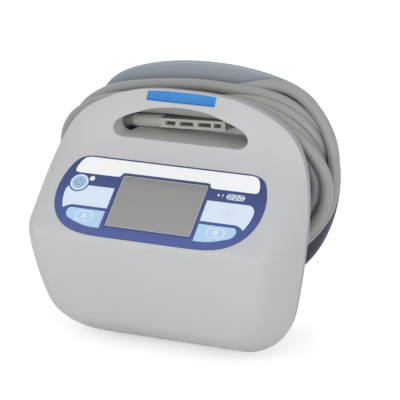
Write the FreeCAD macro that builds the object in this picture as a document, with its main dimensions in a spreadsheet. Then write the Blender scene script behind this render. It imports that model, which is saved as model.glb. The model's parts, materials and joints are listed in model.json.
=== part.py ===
import FreeCAD, Part
import math
import os
import re

import Sketcher
from FreeCAD import Placement, Rotation, Vector

# Compression therapy pump: a console with a sloping keypad, a grip through its top, a waist that two air hoses
# are wound on, and a sprung plate behind it that hooks over a bed's footboard.
# X is to the right, Y to the back, Z up, with the feet on Z = 0 and the body's box centred on X = Y = 0.
# Depths are counted from the console's nose, the foremost point of its front cover.

SIZES = (
    # the whole
    ("body_depth", 112, "nose to the bed hook's back face"),
    ("cover_width", 187, "widest part of the front cover"),
    ("cover_height", 161.3, "front cover, bottom edge to top edge"),
    ("foot_height", 2, "how far the feet hold the covers off the table"),
    ("wall", 2.5, "moulded covers"),
    ("shoulder", 21, "how far in from its edge the front cover starts to round back"),
    ("edge_trim", 0.25, "how far the front cover stops before its edge curve"),
    ("seam", 0.4, "rear case's start behind the front cover's edge curve"),
    ("soft_gap", 0.3, "between neighbours that don't fit tight"),
    ("slip", 0.08, "radial clearance of a running fit"),
    ("press", 0.05, "radial clearance round what is pressed or screwed in"),
    ("play", 0.2, "clearance round what drops in loosely"),
    # front cover
    ("nose_height", 76, "height of the nose"),
    ("skirt_depth", 24, "depth of the front wall where it meets the bottom edge"),
    ("face_lean", 50.6, "keypad face, degrees back from upright"),
    ("face_height", 86.9, "height of the display's lower edge"),
    ("face_depth", 7.5, "depth of the display's lower edge"),
    ("face_rise", 50.5, "flat length of the keypad face above the display's lower edge"),
    ("brow_depth", 60.6, "depth of the front wall at the top edge"),
    ("panel_thickness", 4, "stiff panel behind the keypad"),
    ("recess_depth", 1, "recess that the keypad film lies in"),
    ("boss_radius", 4.5, "screw posts"),
    # grip
    ("grip_width", 93.5, "opening under the handle"),
    ("grip_floor", 131.5, "height of the opening's lower edge"),
    ("grip_crown", 152.8, "height of the opening's top edge at the middle"),
    ("grip_shoulder", 143.2, "height of the opening's top edge at its ends"),
    ("grip_end", 136.5, "height where the opening is widest"),
    ("grip_lip", 0.6, "rounding of the opening's edge"),
    ("liner_wall", 1.6, "grip liner"),
    ("liner_gap", 0.4, "between the opening's edge and the liner"),
    ("liner_inset", 5.5, "how far the liner's floor stays inside the opening's ends"),
    ("liner_sleeve", 73.5, "back edge of the liner's sleeve"),
    ("liner_back", 94, "back edge of the liner's floor"),
    ("liner_stop", 4, "height of the stop at the floor's back edge"),
    # rear case
    ("flange_strip", 5.6, "edge strip of the rear case behind the seam"),
    ("flange_inset", 0.8, "how far the edge strip lies inside the cover's outline"),
    ("rib_reach", 2.5, "locating rib, how far it reaches into the cover"),
    ("rib_gap", 0.15, "between the locating rib and the cover's wall"),
    ("rib_width", 1.5, "locating rib"),
    ("hub_width", 124, "waist that the hoses are wound on"),
    ("hub_bottom", 34, "height of the waist's underside"),
    ("hub_top", 129, "height of the waist's top"),
    ("hub_corner", 28, "waist corner radius"),
    ("rear_depth", 103, "depth of the waist's rear face"),
    ("base_width", 96, "base tongue under the hoses"),
    ("base_front", 44.6, "front edge of the base tongue"),
    ("base_back", 100, "back edge of the base tongue"),
    ("base_thickness", 5, "base tongue"),
    ("foot_radius", 6, "rubber feet"),
    ("foot_spread", 76, "feet, centre to centre across"),
    ("foot_front", 53, "depth of the front feet"),
    ("foot_back", 91, "depth of the rear feet"),
    # keypad, measured on the face: across from its middle, and up the face from the display's lower edge
    ("film_width", 141.6, "keypad film"),
    ("film_top", 51, "film above the display's lower edge"),
    ("film_bottom", 8.2, "film below the display's lower edge"),
    ("film_proud", 0.3, "film above the cover's face"),
    ("display_width", 58.8, "visible display"),
    ("display_height", 39, "visible display"),
    ("display_corner", 1.6, "visible display"),
    ("window_thickness", 1.3, "display window"),
    ("window_ledge", 1.5, "ledge that carries the window"),
    ("module_width", 68, "display module"),
    ("module_thickness", 5, "display module"),
    ("board_thickness", 1.6, "circuit boards"),
    ("keyboard_width", 124, "keypad board"),
    ("key_gap", 0.25, "round a key"),
    ("key_proud", 0.5, "key above the cover's face"),
    ("key_thickness", 1.4, "key plate"),
    ("key_travel", 1, "key travel"),
    ("key_inner", 32, "inner edge of the A and B keys from the middle"),
    ("stem_across", 45, "A and B key stems from the middle"),
    ("stem_up", 4.5, "A and B key stems up the face"),
    ("stem_radius", 2.5, "key stems"),
    ("stem_shoulder", 4.4, "depth below the face where the stem narrows"),
    ("tip_radius", 1.6, "end of the stem, inside its switch"),
    ("tip_reach", 6, "depth of the stem's tip below the face"),
    ("switch_side", 7, "switch housings"),
    ("switch_height", 3.5, "switch housings"),
    ("power_across", 57.4, "power key left of the middle"),
    ("power_up", 29.5, "power key up the face"),
    ("power_radius", 6.2, "power key"),
    ("lamp_across", 49.7, "status lamp left of the middle"),
    ("lamp_up", 33.6, "status lamp up the face"),
    ("lamp_radius", 1.8, "status lamp"),
    ("gauge_across", 49.7, "battery gauge right of the middle"),
    ("gauge_up", 32.6, "battery gauge up the face"),
    ("gauge_width", 12.3, "battery gauge"),
    ("gauge_height", 4.2, "battery gauge"),
    ("charge_across", 38.1, "first charge lamp right of the middle"),
    ("charge_pitch", 2.9, "charge lamps, centre to centre"),
    ("charge_radius", 1.1, "charge lamps"),
    ("label_left", 25, "plain label, left edge from the middle"),
    ("label_right", 22.5, "plain label, right edge from the middle"),
    ("label_drop", 7.4, "plain label, height on the handle's front"),
    ("label_thickness", 0.25, "plain label"),
    # pump
    ("pump_depth", 29, "pump axis, depth"),
    ("pump_height", 52, "pump axis, height"),
    ("motor_radius", 15.5, "pump motor"),
    ("motor_length", 36, "pump motor"),
    ("head_left", -20, "pump head, left end"),
    ("head_length", 42, "pump head"),
    ("head_side", 32, "pump head, height and depth"),
    ("bracket_thickness", 1.5, "pump bracket"),
    ("bracket_left", -56, "pump bracket, left end"),
    ("mount_radius", 4.5, "rubber pump mounts"),
    ("mount_height", 6, "rubber pump mounts"),
    ("mount_front", 21, "depth of the front pump mounts"),
    ("mount_back", 34.5, "depth of the rear pump mounts"),
    # air path
    ("manifold_width", 19, "valve manifold"),
    ("manifold_height", 8, "valve manifold"),
    ("port_height", 66, "hose ports"),
    ("manifold_front", 64, "valve manifold, front face depth"),
    ("manifold_length", 36, "valve manifold, front to back"),
    ("port_front", 72, "depth of port A"),
    ("port_pitch", 24, "ports, centre to centre"),
    ("barb_radius", 3, "port elbows, body"),
    ("air_tube_radius", 2.5, "silicone tubes inside"),
    # power
    ("inlet_width", 27, "mains inlet body"),
    ("inlet_height", 20, "mains inlet body"),
    ("inlet_length", 23, "mains inlet body"),
    ("inlet_centre", 52, "height of the mains inlet"),
    ("inlet_flange", 1.5, "mains inlet flange"),
    ("pin_width", 2, "inlet pins, thin side"),
    ("pin_height", 4, "inlet pins, wide side"),
    ("power_board_front", 50, "power board, front edge depth"),
    ("power_board_back", 79, "power board, back edge depth"),
    ("power_board_width", 78, "power board"),
    ("board_standoff", 1.5, "power board above the waist's floor"),
    ("battery_width", 64, "battery pack"),
    ("battery_height", 20, "battery pack"),
    ("battery_front", 60, "battery pack, front face depth"),
    ("battery_length", 22, "battery pack, front to back"),
    # main board
    ("main_width", 76, "main board"),
    ("main_bottom", 73, "main board, lower edge"),
    ("main_top", 103, "main board, upper edge"),
    ("main_depth", 90, "main board, front face depth"),
    # bed hook
    ("hook_thickness", 5, "bed hook plate"),
    ("hook_width", 182, "bed hook plate"),
    ("hook_bottom", 20, "bed hook plate, lower edge"),
    ("hook_top", 173, "bed hook plate, upper edge"),
    ("hook_edge", 1.8, "bed hook plate, edge rounding"),
    ("hook_travel", 30, "how far the plate pulls out"),
    ("window_inner", 58, "hook's side windows, inner edge from the middle"),
    ("window_outer", 78, "hook's side windows, outer edge from the middle"),
    ("window_low", 84, "hook's side windows, lower edge"),
    ("window_high", 121, "hook's side windows, upper edge"),
    ("notch_width", 36, "notch that gives room to the mains plug"),
    ("notch_top", 68, "notch, upper edge"),
    ("rod_radius", 4, "guide rods"),
    ("rod_spread", 96, "guide rods, centre to centre"),
    ("rod_height", 81.5, "guide rods"),
    ("clip_thickness", 3, "collars on the rods"),
    ("clip_radius", 7.4, "collars on the rods"),
    ("bush_radius", 7, "rod bushes"),
    ("bush_front", 91, "rod bushes, front end"),
    ("bush_flange", 9.5, "rod bushes, flange radius"),
    ("bush_flange_thickness", 1.5, "rod bushes"),
    ("spring_wire", 1.2, "hook springs"),
    ("spring_radius", 5.6, "hook springs, middle of the wire"),
    ("spring_turns", 5, "hook springs"),
    ("screw_radius", 1.5, "case screws"),
    ("screw_sink", 0.7, "how deep the case screws' heads lie under the flange"),
    ("screw_head", 3.2, "case screws, head radius"),
    ("rod_screw_radius", 2, "hook screws"),
    ("rod_screw_head", 3.8, "hook screws, head radius"),
    ("pad_spread", 60, "rubber pads, centre to centre"),
    ("pad_width", 22, "rubber pads"),
    ("pad_height", 16, "rubber pads"),
    ("pad_centre", 112, "rubber pads, height"),
    # hoses
    ("hose_diameter", 8, "air hoses"),
    ("coil_width", 192, "wound hoses, outside"),
    ("coil_top", 169, "wound hoses, highest point"),
    ("coil_corner", 50, "wound hoses, outer corner radius"),
    ("coil_hole_width", 148, "wound hoses, inside"),
    ("coil_hole_bottom", 30, "wound hoses, inside"),
    ("coil_hole_top", 148, "wound hoses, inside"),
    ("coil_hole_corner", 30, "wound hoses, inner corner radius"),
    ("coil_front", 74, "depth of the first hose's coil"),
    ("coil_thickness", 15.5, "each hose's coil, front to back"),
    ("coil_gap", 0.5, "between the two coils"),
    # garment connectors
    ("plug_length", 46, "garment connector"),
    ("plug_height", 6.2, "garment connector"),
    ("plug_thickness", 9.6, "garment connector"),
    ("plug_centre", 135.3, "connector in the grip, height of its boot's tip"),
    ("side_plug_across", 68.6, "connector beside the waist, left of the middle"),
    ("side_plug_bottom", 72, "connector beside the waist, lower end"),
    ("side_plug_depth", 92.8, "connector beside the waist, depth of its middle"),
    ("plug_tilt", 2.7, "connector in the grip, its free end raised"),
    ("plug_left", -24, "connector in the grip, left end"),
    ("plug_front", 81.5, "connector in the grip, front face"),
    ("boot_length", 20, "connector boots"),
    ("boot_radius", 4.6, "connector boots, at the connector"),
    ("boot_tip", 4.3, "connector boots, at the hose"),
)

DOC = FreeCAD.newDocument("CompressionPump")
SHEET = DOC.addObject("Spreadsheet::Sheet", "Sizes")
for row, (alias, value, meaning) in enumerate(SIZES, start=1):
    SHEET.set(f"A{row}", alias)
    SHEET.set(f"B{row}", str(value))
    SHEET.set(f"C{row}", meaning)
    SHEET.setAlias(f"B{row}", alias)
DOC.recompute()

NODES = []


# ---------------------------------------------------------------- sheet and nodes


def size(alias):
    """One of the sheet's values."""
    return float(SHEET.get(alias))


def formula(text):
    """An expression in plain aliases, as the document reads it."""
    aliases = {alias for alias, _, _ in SIZES}
    return re.sub(r"[a-z_]+", lambda m: f"Sizes.{m.group()}" if m.group() in aliases else m.group(), str(text))


def bind(item, **expressions):
    """Tie properties to the sheet. x, y, z and turn stand for the item's place and angle."""
    short = {"x": "Placement.Base.x", "y": "Placement.Base.y", "z": "Placement.Base.z"}
    short["turn"] = "Placement.Rotation.Angle"
    for prop, text in expressions.items():
        item.setExpression(short.get(prop, prop), formula(text))
    return item


def deep(text):
    """A depth behind the nose, as a Y expression."""
    return f"{text} - body_depth / 2"


def at_depth(value):
    """A depth behind the nose, as a Y value."""
    return value - size("body_depth") / 2


def node(item, name):
    """Name a finished sub-part."""
    item.Label = name
    NODES.append(item)
    return item


def shape_node(shape, name, place=None):
    """A sub-part whose shape is worked out from the sheet's values."""
    item = DOC.addObject("Part::Feature", name)
    item.Shape = shape
    if place is not None:
        item.Placement = place
    return node(item, name)


def block(name, x, y, z):
    """A box between two X, two Y and two Z expressions."""
    item = DOC.addObject("Part::Box", name)
    for prop, pair in (("Length", x), ("Width", y), ("Height", z)):
        bind(item, **{prop: f"({pair[1]}) - ({pair[0]})"})
    return bind(item, x=x[0], y=y[0], z=z[0])


TURNS = {"x": Rotation(Vector(0, 1, 0), 90), "y": Rotation(Vector(1, 0, 0), -90), "z": Rotation()}


def rod(name, axis, x, y, z, radius, length):
    """A cylinder that starts at a point and runs along an axis."""
    item = DOC.addObject("Part::Cylinder", name)
    item.Placement = Placement(Vector(), TURNS[axis])
    return bind(item, Radius=radius, Height=length, x=x, y=y, z=z)


def cut(name, base, tool):
    """Base less tool."""
    item = DOC.addObject("Part::Cut", name)
    item.Base = base
    item.Tool = tool
    return item


def fuse(name, items):
    """Several shapes joined into one."""
    item = DOC.addObject("Part::MultiFuse", name)
    item.Shapes = items
    return item


def group(name, items):
    """Several separate solids that share a node."""
    item = DOC.addObject("Part::Compound", name)
    item.Links = items
    return item


def on_face(item):
    """Move a shape from face measures (across, depth below the face, up the face) to its place."""
    item.Placement = Placement(Vector(), Rotation(Vector(1, 0, 0), -size("face_lean")))
    return bind(item, turn="-face_lean", y=deep("face_depth"), z="face_height")


FACE = Placement(
    Vector(0, at_depth(size("face_depth")), size("face_height")), Rotation(Vector(1, 0, 0), -size("face_lean"))
)


# ---------------------------------------------------------------- sketched bodies


def sketch(body, role):
    """A sketch on one of a body's origin planes."""
    item = body.newObject("Sketcher::SketchObject", body.Name + "_sketch")
    plane = next(feature for feature in body.Origin.OriginFeatures if feature.Role == role)
    item.AttachmentSupport = (plane, [""])
    item.MapMode = "FlatFace"
    return item


def circle_sketch(body, role, radius):
    """A circle round the plane's origin."""
    item = sketch(body, role)
    item.addGeometry(Part.Circle(Vector(), Vector(0, 0, 1), 1), False)
    item.addConstraint(Sketcher.Constraint("Coincident", 0, 3, -1, 1))
    item.addConstraint(Sketcher.Constraint("Radius", 0, 1))
    item.setExpression("Constraints[1]", formula(radius))
    return item


def rectangle_sketch(body, role, width, height):
    """A rectangle centred on the plane's origin."""
    item = sketch(body, role)
    corners = [Vector(-1, -1, 0), Vector(1, -1, 0), Vector(1, 1, 0), Vector(-1, 1, 0)]
    for start, end in zip(corners, corners[1:] + corners[:1]):
        item.addGeometry(Part.LineSegment(start, end), False)
    for edge in range(4):
        item.addConstraint(Sketcher.Constraint("Coincident", edge, 2, (edge + 1) % 4, 1))
    for kind, edge in (("Horizontal", 0), ("Vertical", 1), ("Horizontal", 2), ("Vertical", 3)):
        item.addConstraint(Sketcher.Constraint(kind, edge))
    item.addConstraint(Sketcher.Constraint("Symmetric", 0, 1, 2, 1, -1, 1))
    item.addConstraint(Sketcher.Constraint("DistanceX", 0, 1, 0, 2, 2))
    item.addConstraint(Sketcher.Constraint("DistanceY", 1, 1, 1, 2, 2))
    item.setExpression("Constraints[9]", formula(width))
    item.setExpression("Constraints[10]", formula(height))
    return item


def pad(body, profile, length, backwards=False):
    """Extrude a sketch of the body."""
    item = body.newObject("PartDesign::Pad", body.Name + "_pad")
    item.Profile = profile
    item.setExpression("Length", formula(length))
    item.Reversed = backwards
    DOC.recompute()
    return item


def round_edges(body, base, radius, wanted):
    """Fillet the edges of a body's last feature that a test picks."""
    names = [f"Edge{i}" for i, edge in enumerate(base.Shape.Edges, start=1) if wanted(edge)]
    item = body.newObject("PartDesign::Fillet", body.Name + "_round")
    item.Base = (base, names)
    item.setExpression("Radius", formula(radius))
    return item


def new_body(name):
    """An empty PartDesign body."""
    return DOC.addObject("PartDesign::Body", name)


# ---------------------------------------------------------------- outlines and curves


def spline(points):
    """A smooth curve through points."""
    curve = Part.BSplineCurve()
    curve.interpolate(Points=points)
    return curve


def closed_loop(half):
    """A smooth closed outline from the (x, z) points of its right half, top middle to bottom middle."""
    right = [Vector(x, 0, z) for x, z in half]
    left = [Vector(-x, 0, z) for x, z in reversed(half[1:-1])]
    curve = Part.BSplineCurve()
    curve.interpolate(Points=right + left, PeriodicFlag=True)
    return Part.Wire([curve.toShape()])


def grown(wire, amount, steps=48):
    """A smooth closed outline in XZ moved outwards."""
    if not amount:
        return wire
    curve = wire.Edges[0].Curve
    first, last = wire.Edges[0].ParameterRange
    points = []
    for i in range(steps):
        place = first + (last - first) * i / steps
        along = curve.tangent(place)[0]
        points.append(curve.value(place) + Vector(-along.z, 0, along.x) * amount)
    loop = Part.BSplineCurve()
    loop.interpolate(Points=points, PeriodicFlag=True)
    return Part.Wire([loop.toShape()])


def rounded(x0, x1, z0, z1, radius):
    """A rectangle in XZ with round corners."""
    edges = []
    turn = math.sqrt(0.5)
    corners = ((x1 - radius, z1 - radius, 1, 1), (x0 + radius, z1 - radius, -1, 1))
    corners += ((x0 + radius, z0 + radius, -1, -1), (x1 - radius, z0 + radius, 1, -1))
    ends = []
    for cx, cz, sx, sz in corners:
        first, last = Vector(cx + sx * radius, 0, cz), Vector(cx, 0, cz + sz * radius)
        if sx * sz < 0:
            first, last = last, first
        middle = Vector(cx + sx * turn * radius, 0, cz + sz * turn * radius)
        ends.append((first, middle, last))
    for (first, middle, last), (after, _, _) in zip(ends, ends[1:] + ends[:1]):
        edges.append(Part.Arc(first, middle, last).toShape())
        if (after - last).Length > 1e-6:
            edges.append(Part.makeLine(last, after))
    return Part.Wire(edges)


def prism(wire, start, end):
    """A wire in XZ extruded between two Y values."""
    face = Part.Face(wire)
    face.translate(Vector(0, start, 0))
    return face.extrude(Vector(0, end - start, 0))


def disc(x, z, radius, start, end):
    """A cylinder along Y."""
    return Part.makeCylinder(radius, end - start, Vector(x, start, z), Vector(0, 1, 0))


def curve_at(points, where):
    """The height of a smooth curve through (place, value) points."""
    for i, ((p0, v0), (p1, v1)) in enumerate(zip(points, points[1:])):
        if where <= p1 or i == len(points) - 2:
            break
    before = points[i - 1] if i else points[i]
    after = points[i + 2] if i + 2 < len(points) else points[i + 1]
    span = p1 - p0
    rise0 = (v1 - before[1]) / (p1 - before[0]) * span
    rise1 = (after[1] - v0) / (after[0] - p0) * span
    t = (where - p0) / span
    return (
        v0 * (2 * t**3 - 3 * t**2 + 1)
        + rise0 * (t**3 - 2 * t**2 + t)
        + v1 * (3 * t**2 - 2 * t**3)
        + rise1 * (t**3 - t**2)
    )


# ---------------------------------------------------------------- front cover's form

HALF_WIDTH = size("cover_width") / 2
BOTTOM = size("foot_height")
TOP = BOTTOM + size("cover_height")
FRONT = at_depth(-10)
BEHIND = at_depth(size("body_depth") + 10)

# right half of the outline, as shares of the half width and of the height, from the flat bottom edge to the top
OUTLINE = (
    (0.535, 0.0), (0.76, 0.042), (0.872, 0.112), (0.93, 0.215), (0.98, 0.37), (1.0, 0.49),
    (0.978, 0.62), (0.915, 0.75), (0.80, 0.865), (0.62, 0.936), (0.34, 0.988), (0.0, 1.0),
)

# edge of the cover against the rear case, seen from the side: share of the height, depth
EDGE = (
    (-0.03, 43), (0.0, 43), (0.174, 43), (0.33, 40.5), (0.42, 39.5), (0.50, 41), (0.60, 48),
    (0.70, 56.5), (0.79, 62), (0.89, 65), (1.0, 67), (1.05, 67.6),
)

# front wall below the nose, at the middle: share of the nose's height, share of the skirt's depth
CHIN = ((-0.075, 1.125), (0.0, 1.0), (0.243, 0.646), (0.581, 0.27), (0.851, 0.075), (1.0, 0.008))

# front wall above the keypad face, at the middle: share of the way to the top edge, share of the way to its depth
BROW = ((0.0, 0.0), (0.135, 0.43), (0.27, 0.715), (0.43, 0.86), (0.70, 0.93), (1.0, 1.0), (1.06, 1.01))


def cover_curve():
    """The cover's outline without its flat bottom edge, anticlockwise from the bottom right."""
    right = [Vector(HALF_WIDTH * x, 0, BOTTOM + size("cover_height") * z) for x, z in OUTLINE]
    left = [Vector(-p.x, 0, p.z) for p in reversed(right[:-1])]
    return spline(right + left)


def cover_outline(inset=0.0):
    """The cover's outline, moved in by a wall or a gap."""
    curve = cover_curve()
    steps = 44
    first, last = curve.FirstParameter, curve.LastParameter
    points = []
    for i in range(steps + 1):
        place = first + (last - first) * i / steps
        along = curve.tangent(place)[0]
        points.append(curve.value(place) + Vector(-along.z, 0, along.x) * inset)
    return Part.Wire([spline(points).toShape(), Part.makeLine(points[-1], points[0])])


def outline_points():
    """The outline as short straight runs, for measuring distances from it."""
    curve = cover_curve()
    first, last = curve.FirstParameter, curve.LastParameter
    return [curve.value(first + (last - first) * i / 160) for i in range(161)]


OUTLINE_RUNS = outline_points()


def inside_by(x, z):
    """Distance from a point to the outline, negative outside it."""
    nearest = 1e9
    crossings = 0
    for a, b in zip(OUTLINE_RUNS, OUTLINE_RUNS[1:] + OUTLINE_RUNS[:1]):
        dx, dz = b.x - a.x, b.z - a.z
        share = max(0.0, min(1.0, ((x - a.x) * dx + (z - a.z) * dz) / (dx * dx + dz * dz)))
        nearest = min(nearest, math.hypot(x - a.x - share * dx, z - a.z - share * dz))
        if (a.z > z) != (b.z > z) and x < a.x + (z - a.z) / dz * dx:
            crossings += 1
    return nearest if crossings % 2 else -nearest


def edge_depth(z):
    """Depth of the cover's edge at a height."""
    return curve_at(EDGE, (z - BOTTOM) / size("cover_height"))


def middle_depth(z):
    """Depth of the front wall at the middle: chin and nose, then the flat keypad face, then the brow."""
    lean = math.radians(size("face_lean"))
    slope = math.tan(lean)
    face_low = size("face_height") - 2.4
    face_high = size("face_height") + size("face_rise") * math.cos(lean)
    low_depth = size("face_depth") - 2.4 * slope
    high_depth = size("face_depth") + size("face_rise") * math.sin(lean)
    if z >= face_high:
        rise = TOP - face_high
        run = size("brow_depth") - high_depth
        points = [(face_high + rise * share, high_depth + run * back) for share, back in BROW]
        points.insert(0, (face_high - 3, high_depth - 3 * slope))
        return curve_at(points, z)
    if z >= face_low:
        return size("face_depth") + (z - size("face_height")) * slope
    nose = size("nose_height") - BOTTOM
    points = [(BOTTOM + nose * up, size("skirt_depth") * back) for up, back in CHIN]
    points += [(size("nose_height") + 5, 0.6), (face_low, low_depth), (face_low + 3, low_depth + 3 * slope)]
    return curve_at(points, z)


def front_depth(x, z, inset):
    """Depth of the cover's front, or of its inner side a wall further in."""
    flat = middle_depth(z) + inset
    share = max(0.0, 1.0 - (inside_by(x, z) - inset) / size("shoulder"))
    return flat + (edge_depth(z) - flat) * share**2.4


def behind_front(inset):
    """Everything behind the cover's front surface."""
    columns, rows = 34, 38
    half, low, high = HALF_WIDTH + 5, BOTTOM - 5, TOP + 5
    across, up = 2 * half / columns, (high - low) / rows
    forwards = []
    for i in range(columns + 1):
        x = -half + across * i
        forwards.append([-at_depth(front_depth(x, low + up * j, inset)) for j in range(rows + 1)])
    surface = Part.BSplineSurface()
    surface.interpolate(forwards, -half, across, low, up)
    front = surface.toShape()
    front.rotate(Vector(), Vector(1, 0, 0), 90)
    return front.extrude(Vector(0, 2 * size("body_depth"), 0))


def before_edge(offset):
    """Everything in front of the cover's edge curve, moved back by an offset."""
    low, high = BOTTOM - 8, TOP + 8
    heights = [low + (high - low) * i / 24 for i in range(25)]
    points = [Vector(0, at_depth(edge_depth(z) + offset), z) for z in heights]
    front = at_depth(-60)
    corners = [Vector(0, front, high), Vector(0, front, low)]
    wire = Part.Wire([spline(points).toShape(), *Part.makePolygon([points[-1], *corners, points[0]]).Edges])
    half = HALF_WIDTH + 20
    side = Part.Face(wire)
    side.translate(Vector(-half, 0, 0))
    return side.extrude(Vector(2 * half, 0, 0))


def cover_block(inset):
    """The cover as a solid lump, or its hollow a wall further in."""
    lump = prism(cover_outline(inset), FRONT, BEHIND).common(behind_front(inset))
    return lump


def face_shape(shape):
    """Put a shape given in face measures in its place."""
    placed = shape.copy()
    placed.transformShape(FACE.toMatrix(), True)
    return placed


# ---------------------------------------------------------------- keypad outlines, in face measures


def film_outline(grow=0.0):
    """The keypad film's outline: straight along the top, curved ends, and a flat stretch below the display."""
    half = size("film_width") / 2 + grow
    top = size("film_top") + grow
    low = -size("film_bottom") - grow
    shares = ((0.706, 1.0), (0.777, 0.998), (0.847, 0.980), (0.904, 0.936), (0.955, 0.831), (0.990, 0.685))
    shares += ((1.0, 0.561), (0.990, 0.430), (0.963, 0.318), (0.915, 0.216), (0.850, 0.130), (0.765, 0.062))
    shares += ((0.664, 0.022), (0.540, 0.004), (0.424, 0.0))
    right = [Vector(half * x, 0, low + (top - low) * z) for x, z in shares]
    left = [Vector(-p.x, 0, p.z) for p in reversed(right)]
    edges = [spline(right).toShape(), Part.makeLine(right[-1], left[0])]
    return Part.Wire([*edges, spline(left).toShape(), Part.makeLine(left[-1], right[0])])


def display_outline(grow=0.0):
    """The visible display."""
    half = size("display_width") / 2 + grow
    radius = size("display_corner") + max(grow, 0)
    return rounded(-half, half, -grow, size("display_height") + grow, radius)


def key_outline(side, grow=0.0):
    """The A or B key: a straight inner and top edge and a curved outer edge. side is -1 for A, 1 for B."""
    inner = size("key_inner") - grow
    outer = ((53.5, 10.5 + grow), (58.2 + grow, 8.6 + grow), (57.8 + grow, 4.6), (52.0 + grow, 0.6 - grow))
    outer += ((44.0, -1.9 - grow), (inner + 1.5, -2.7 - grow))
    curve = spline([Vector(side * x, 0, z) for x, z in outer])
    top = Vector(side * inner, 0, 10.5 + grow)
    foot = Vector(side * inner, 0, -2.7 - grow)
    first, last = Vector(side * outer[0][0], 0, outer[0][1]), Vector(side * outer[-1][0], 0, outer[-1][1])
    return Part.Wire([curve.toShape(), *Part.makePolygon([last, foot, top, first]).Edges])


def lens_outline(side, grow=0.0):
    """The pale window over a key. side is -1 for the left one, 1 for the right one."""
    inner, low, high = 32 - grow, 12.6 - grow, 28.1 + grow
    shoulder = ((59.6, high), (62.4 + grow / 2, 27.3 + grow / 2), (64.3 + grow, 25.1), (64.9 + grow, 21.8))
    shoulder += ((64.5 + grow, 17.5), (63.5 + grow, 13.6), (61.8 + grow, 9.4 - grow))
    foot = ((61.8 + grow, 9.4 - grow), (60.3, 10.7 - grow), (58.2, 11.9 - grow), (54.5, low))
    curves = [spline([Vector(side * x, 0, z) for x, z in run]) for run in (shoulder, foot)]
    corners = [Vector(side * x, 0, z) for x, z in (foot[-1], (inner, low), (inner, high), shoulder[0])]
    return Part.Wire([curves[0].toShape(), curves[1].toShape(), *Part.makePolygon(corners).Edges])


def gauge_outline(grow=0.0):
    """The battery gauge, a pill."""
    half, high = size("gauge_width") / 2 + grow, size("gauge_height") / 2 + grow
    x, z = size("gauge_across"), size("gauge_up")
    return rounded(x - half, x + half, z - high, z + high, high - 0.01)


def lens_shape(side, grow, start, end):
    """A pale window, cut back round the power key and the battery gauge."""
    rim = size("key_gap") + 0.6 - grow
    plate = prism(lens_outline(side, grow), start, end)
    if side < 0:
        return plate.cut(disc(-size("power_across"), size("power_up"), size("power_radius") + rim, start, end))
    return plate


# ---------------------------------------------------------------- shells


def grip_outline(grow=0.0):
    """The opening under the handle: a flat lower edge, round ends and a gently arched top."""
    half, low, end = size("grip_width") / 2, size("grip_floor"), size("grip_end")
    crown, shoulder = size("grip_crown"), size("grip_shoulder")
    drop = crown - shoulder
    points = [(0, crown), (half * 0.25, crown - drop * 0.07), (half * 0.47, crown - drop * 0.26)]
    points += [(half * 0.70, crown - drop * 0.62), (half * 0.885, shoulder), (half * 0.975, (shoulder + end) / 2)]
    points += [(half, end), (half * 0.965, low + (end - low) * 0.36), (half * 0.88, low + 0.1), (half * 0.76, low)]
    points += [(half * 0.5, low), (half * 0.25, low), (0, low)]
    return grown(closed_loop(points), grow)


def boss_places():
    """Screw posts that hold the rear case to the cover."""
    return [(side * x, z) for x, z in ((72, 29), (80, 95), (62, 140)) for side in (-1, 1)]


def screw_seat(z):
    """Depth of the counterbore that a case screw's head sits in."""
    return edge_depth(z) + size("seam") + size("flange_strip") - size("screw_sink")


def mount_places():
    """Middle of each rubber pump mount: x, depth."""
    left = size("bracket_left") + size("mount_radius")
    right = size("head_left") + size("head_length") - size("mount_radius")
    return [(x, y) for x in (left, right) for y in (size("mount_front"), size("mount_back"))]


def mount_bottom():
    """Height of the pump mounts' lower faces."""
    bracket = size("pump_height") - size("head_side") / 2 - size("bracket_thickness")
    return bracket - size("mount_height")


def key_stems():
    """Across, up the face: the A, B and power key stems."""
    return (
        (-size("stem_across"), size("stem_up")),
        (size("stem_across"), size("stem_up")),
        (-size("power_across"), size("power_up")),
    )


def grip_edge(shell):
    """The foremost edge of the opening that is cut through the shell."""
    outline = grip_outline()

    def on_outline(edge):
        first, last = edge.ParameterRange
        spots = [edge.valueAt(first + (last - first) * i / 5) for i in range(6)]
        return all(outline.distToShape(Part.Vertex(p.x, 0, p.z))[0] < 0.05 for p in spots)

    around = [edge for edge in shell.Edges if edge.Length > size("grip_width") and on_outline(edge)]
    return min(around, key=lambda edge: edge.BoundBox.YMin)


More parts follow.
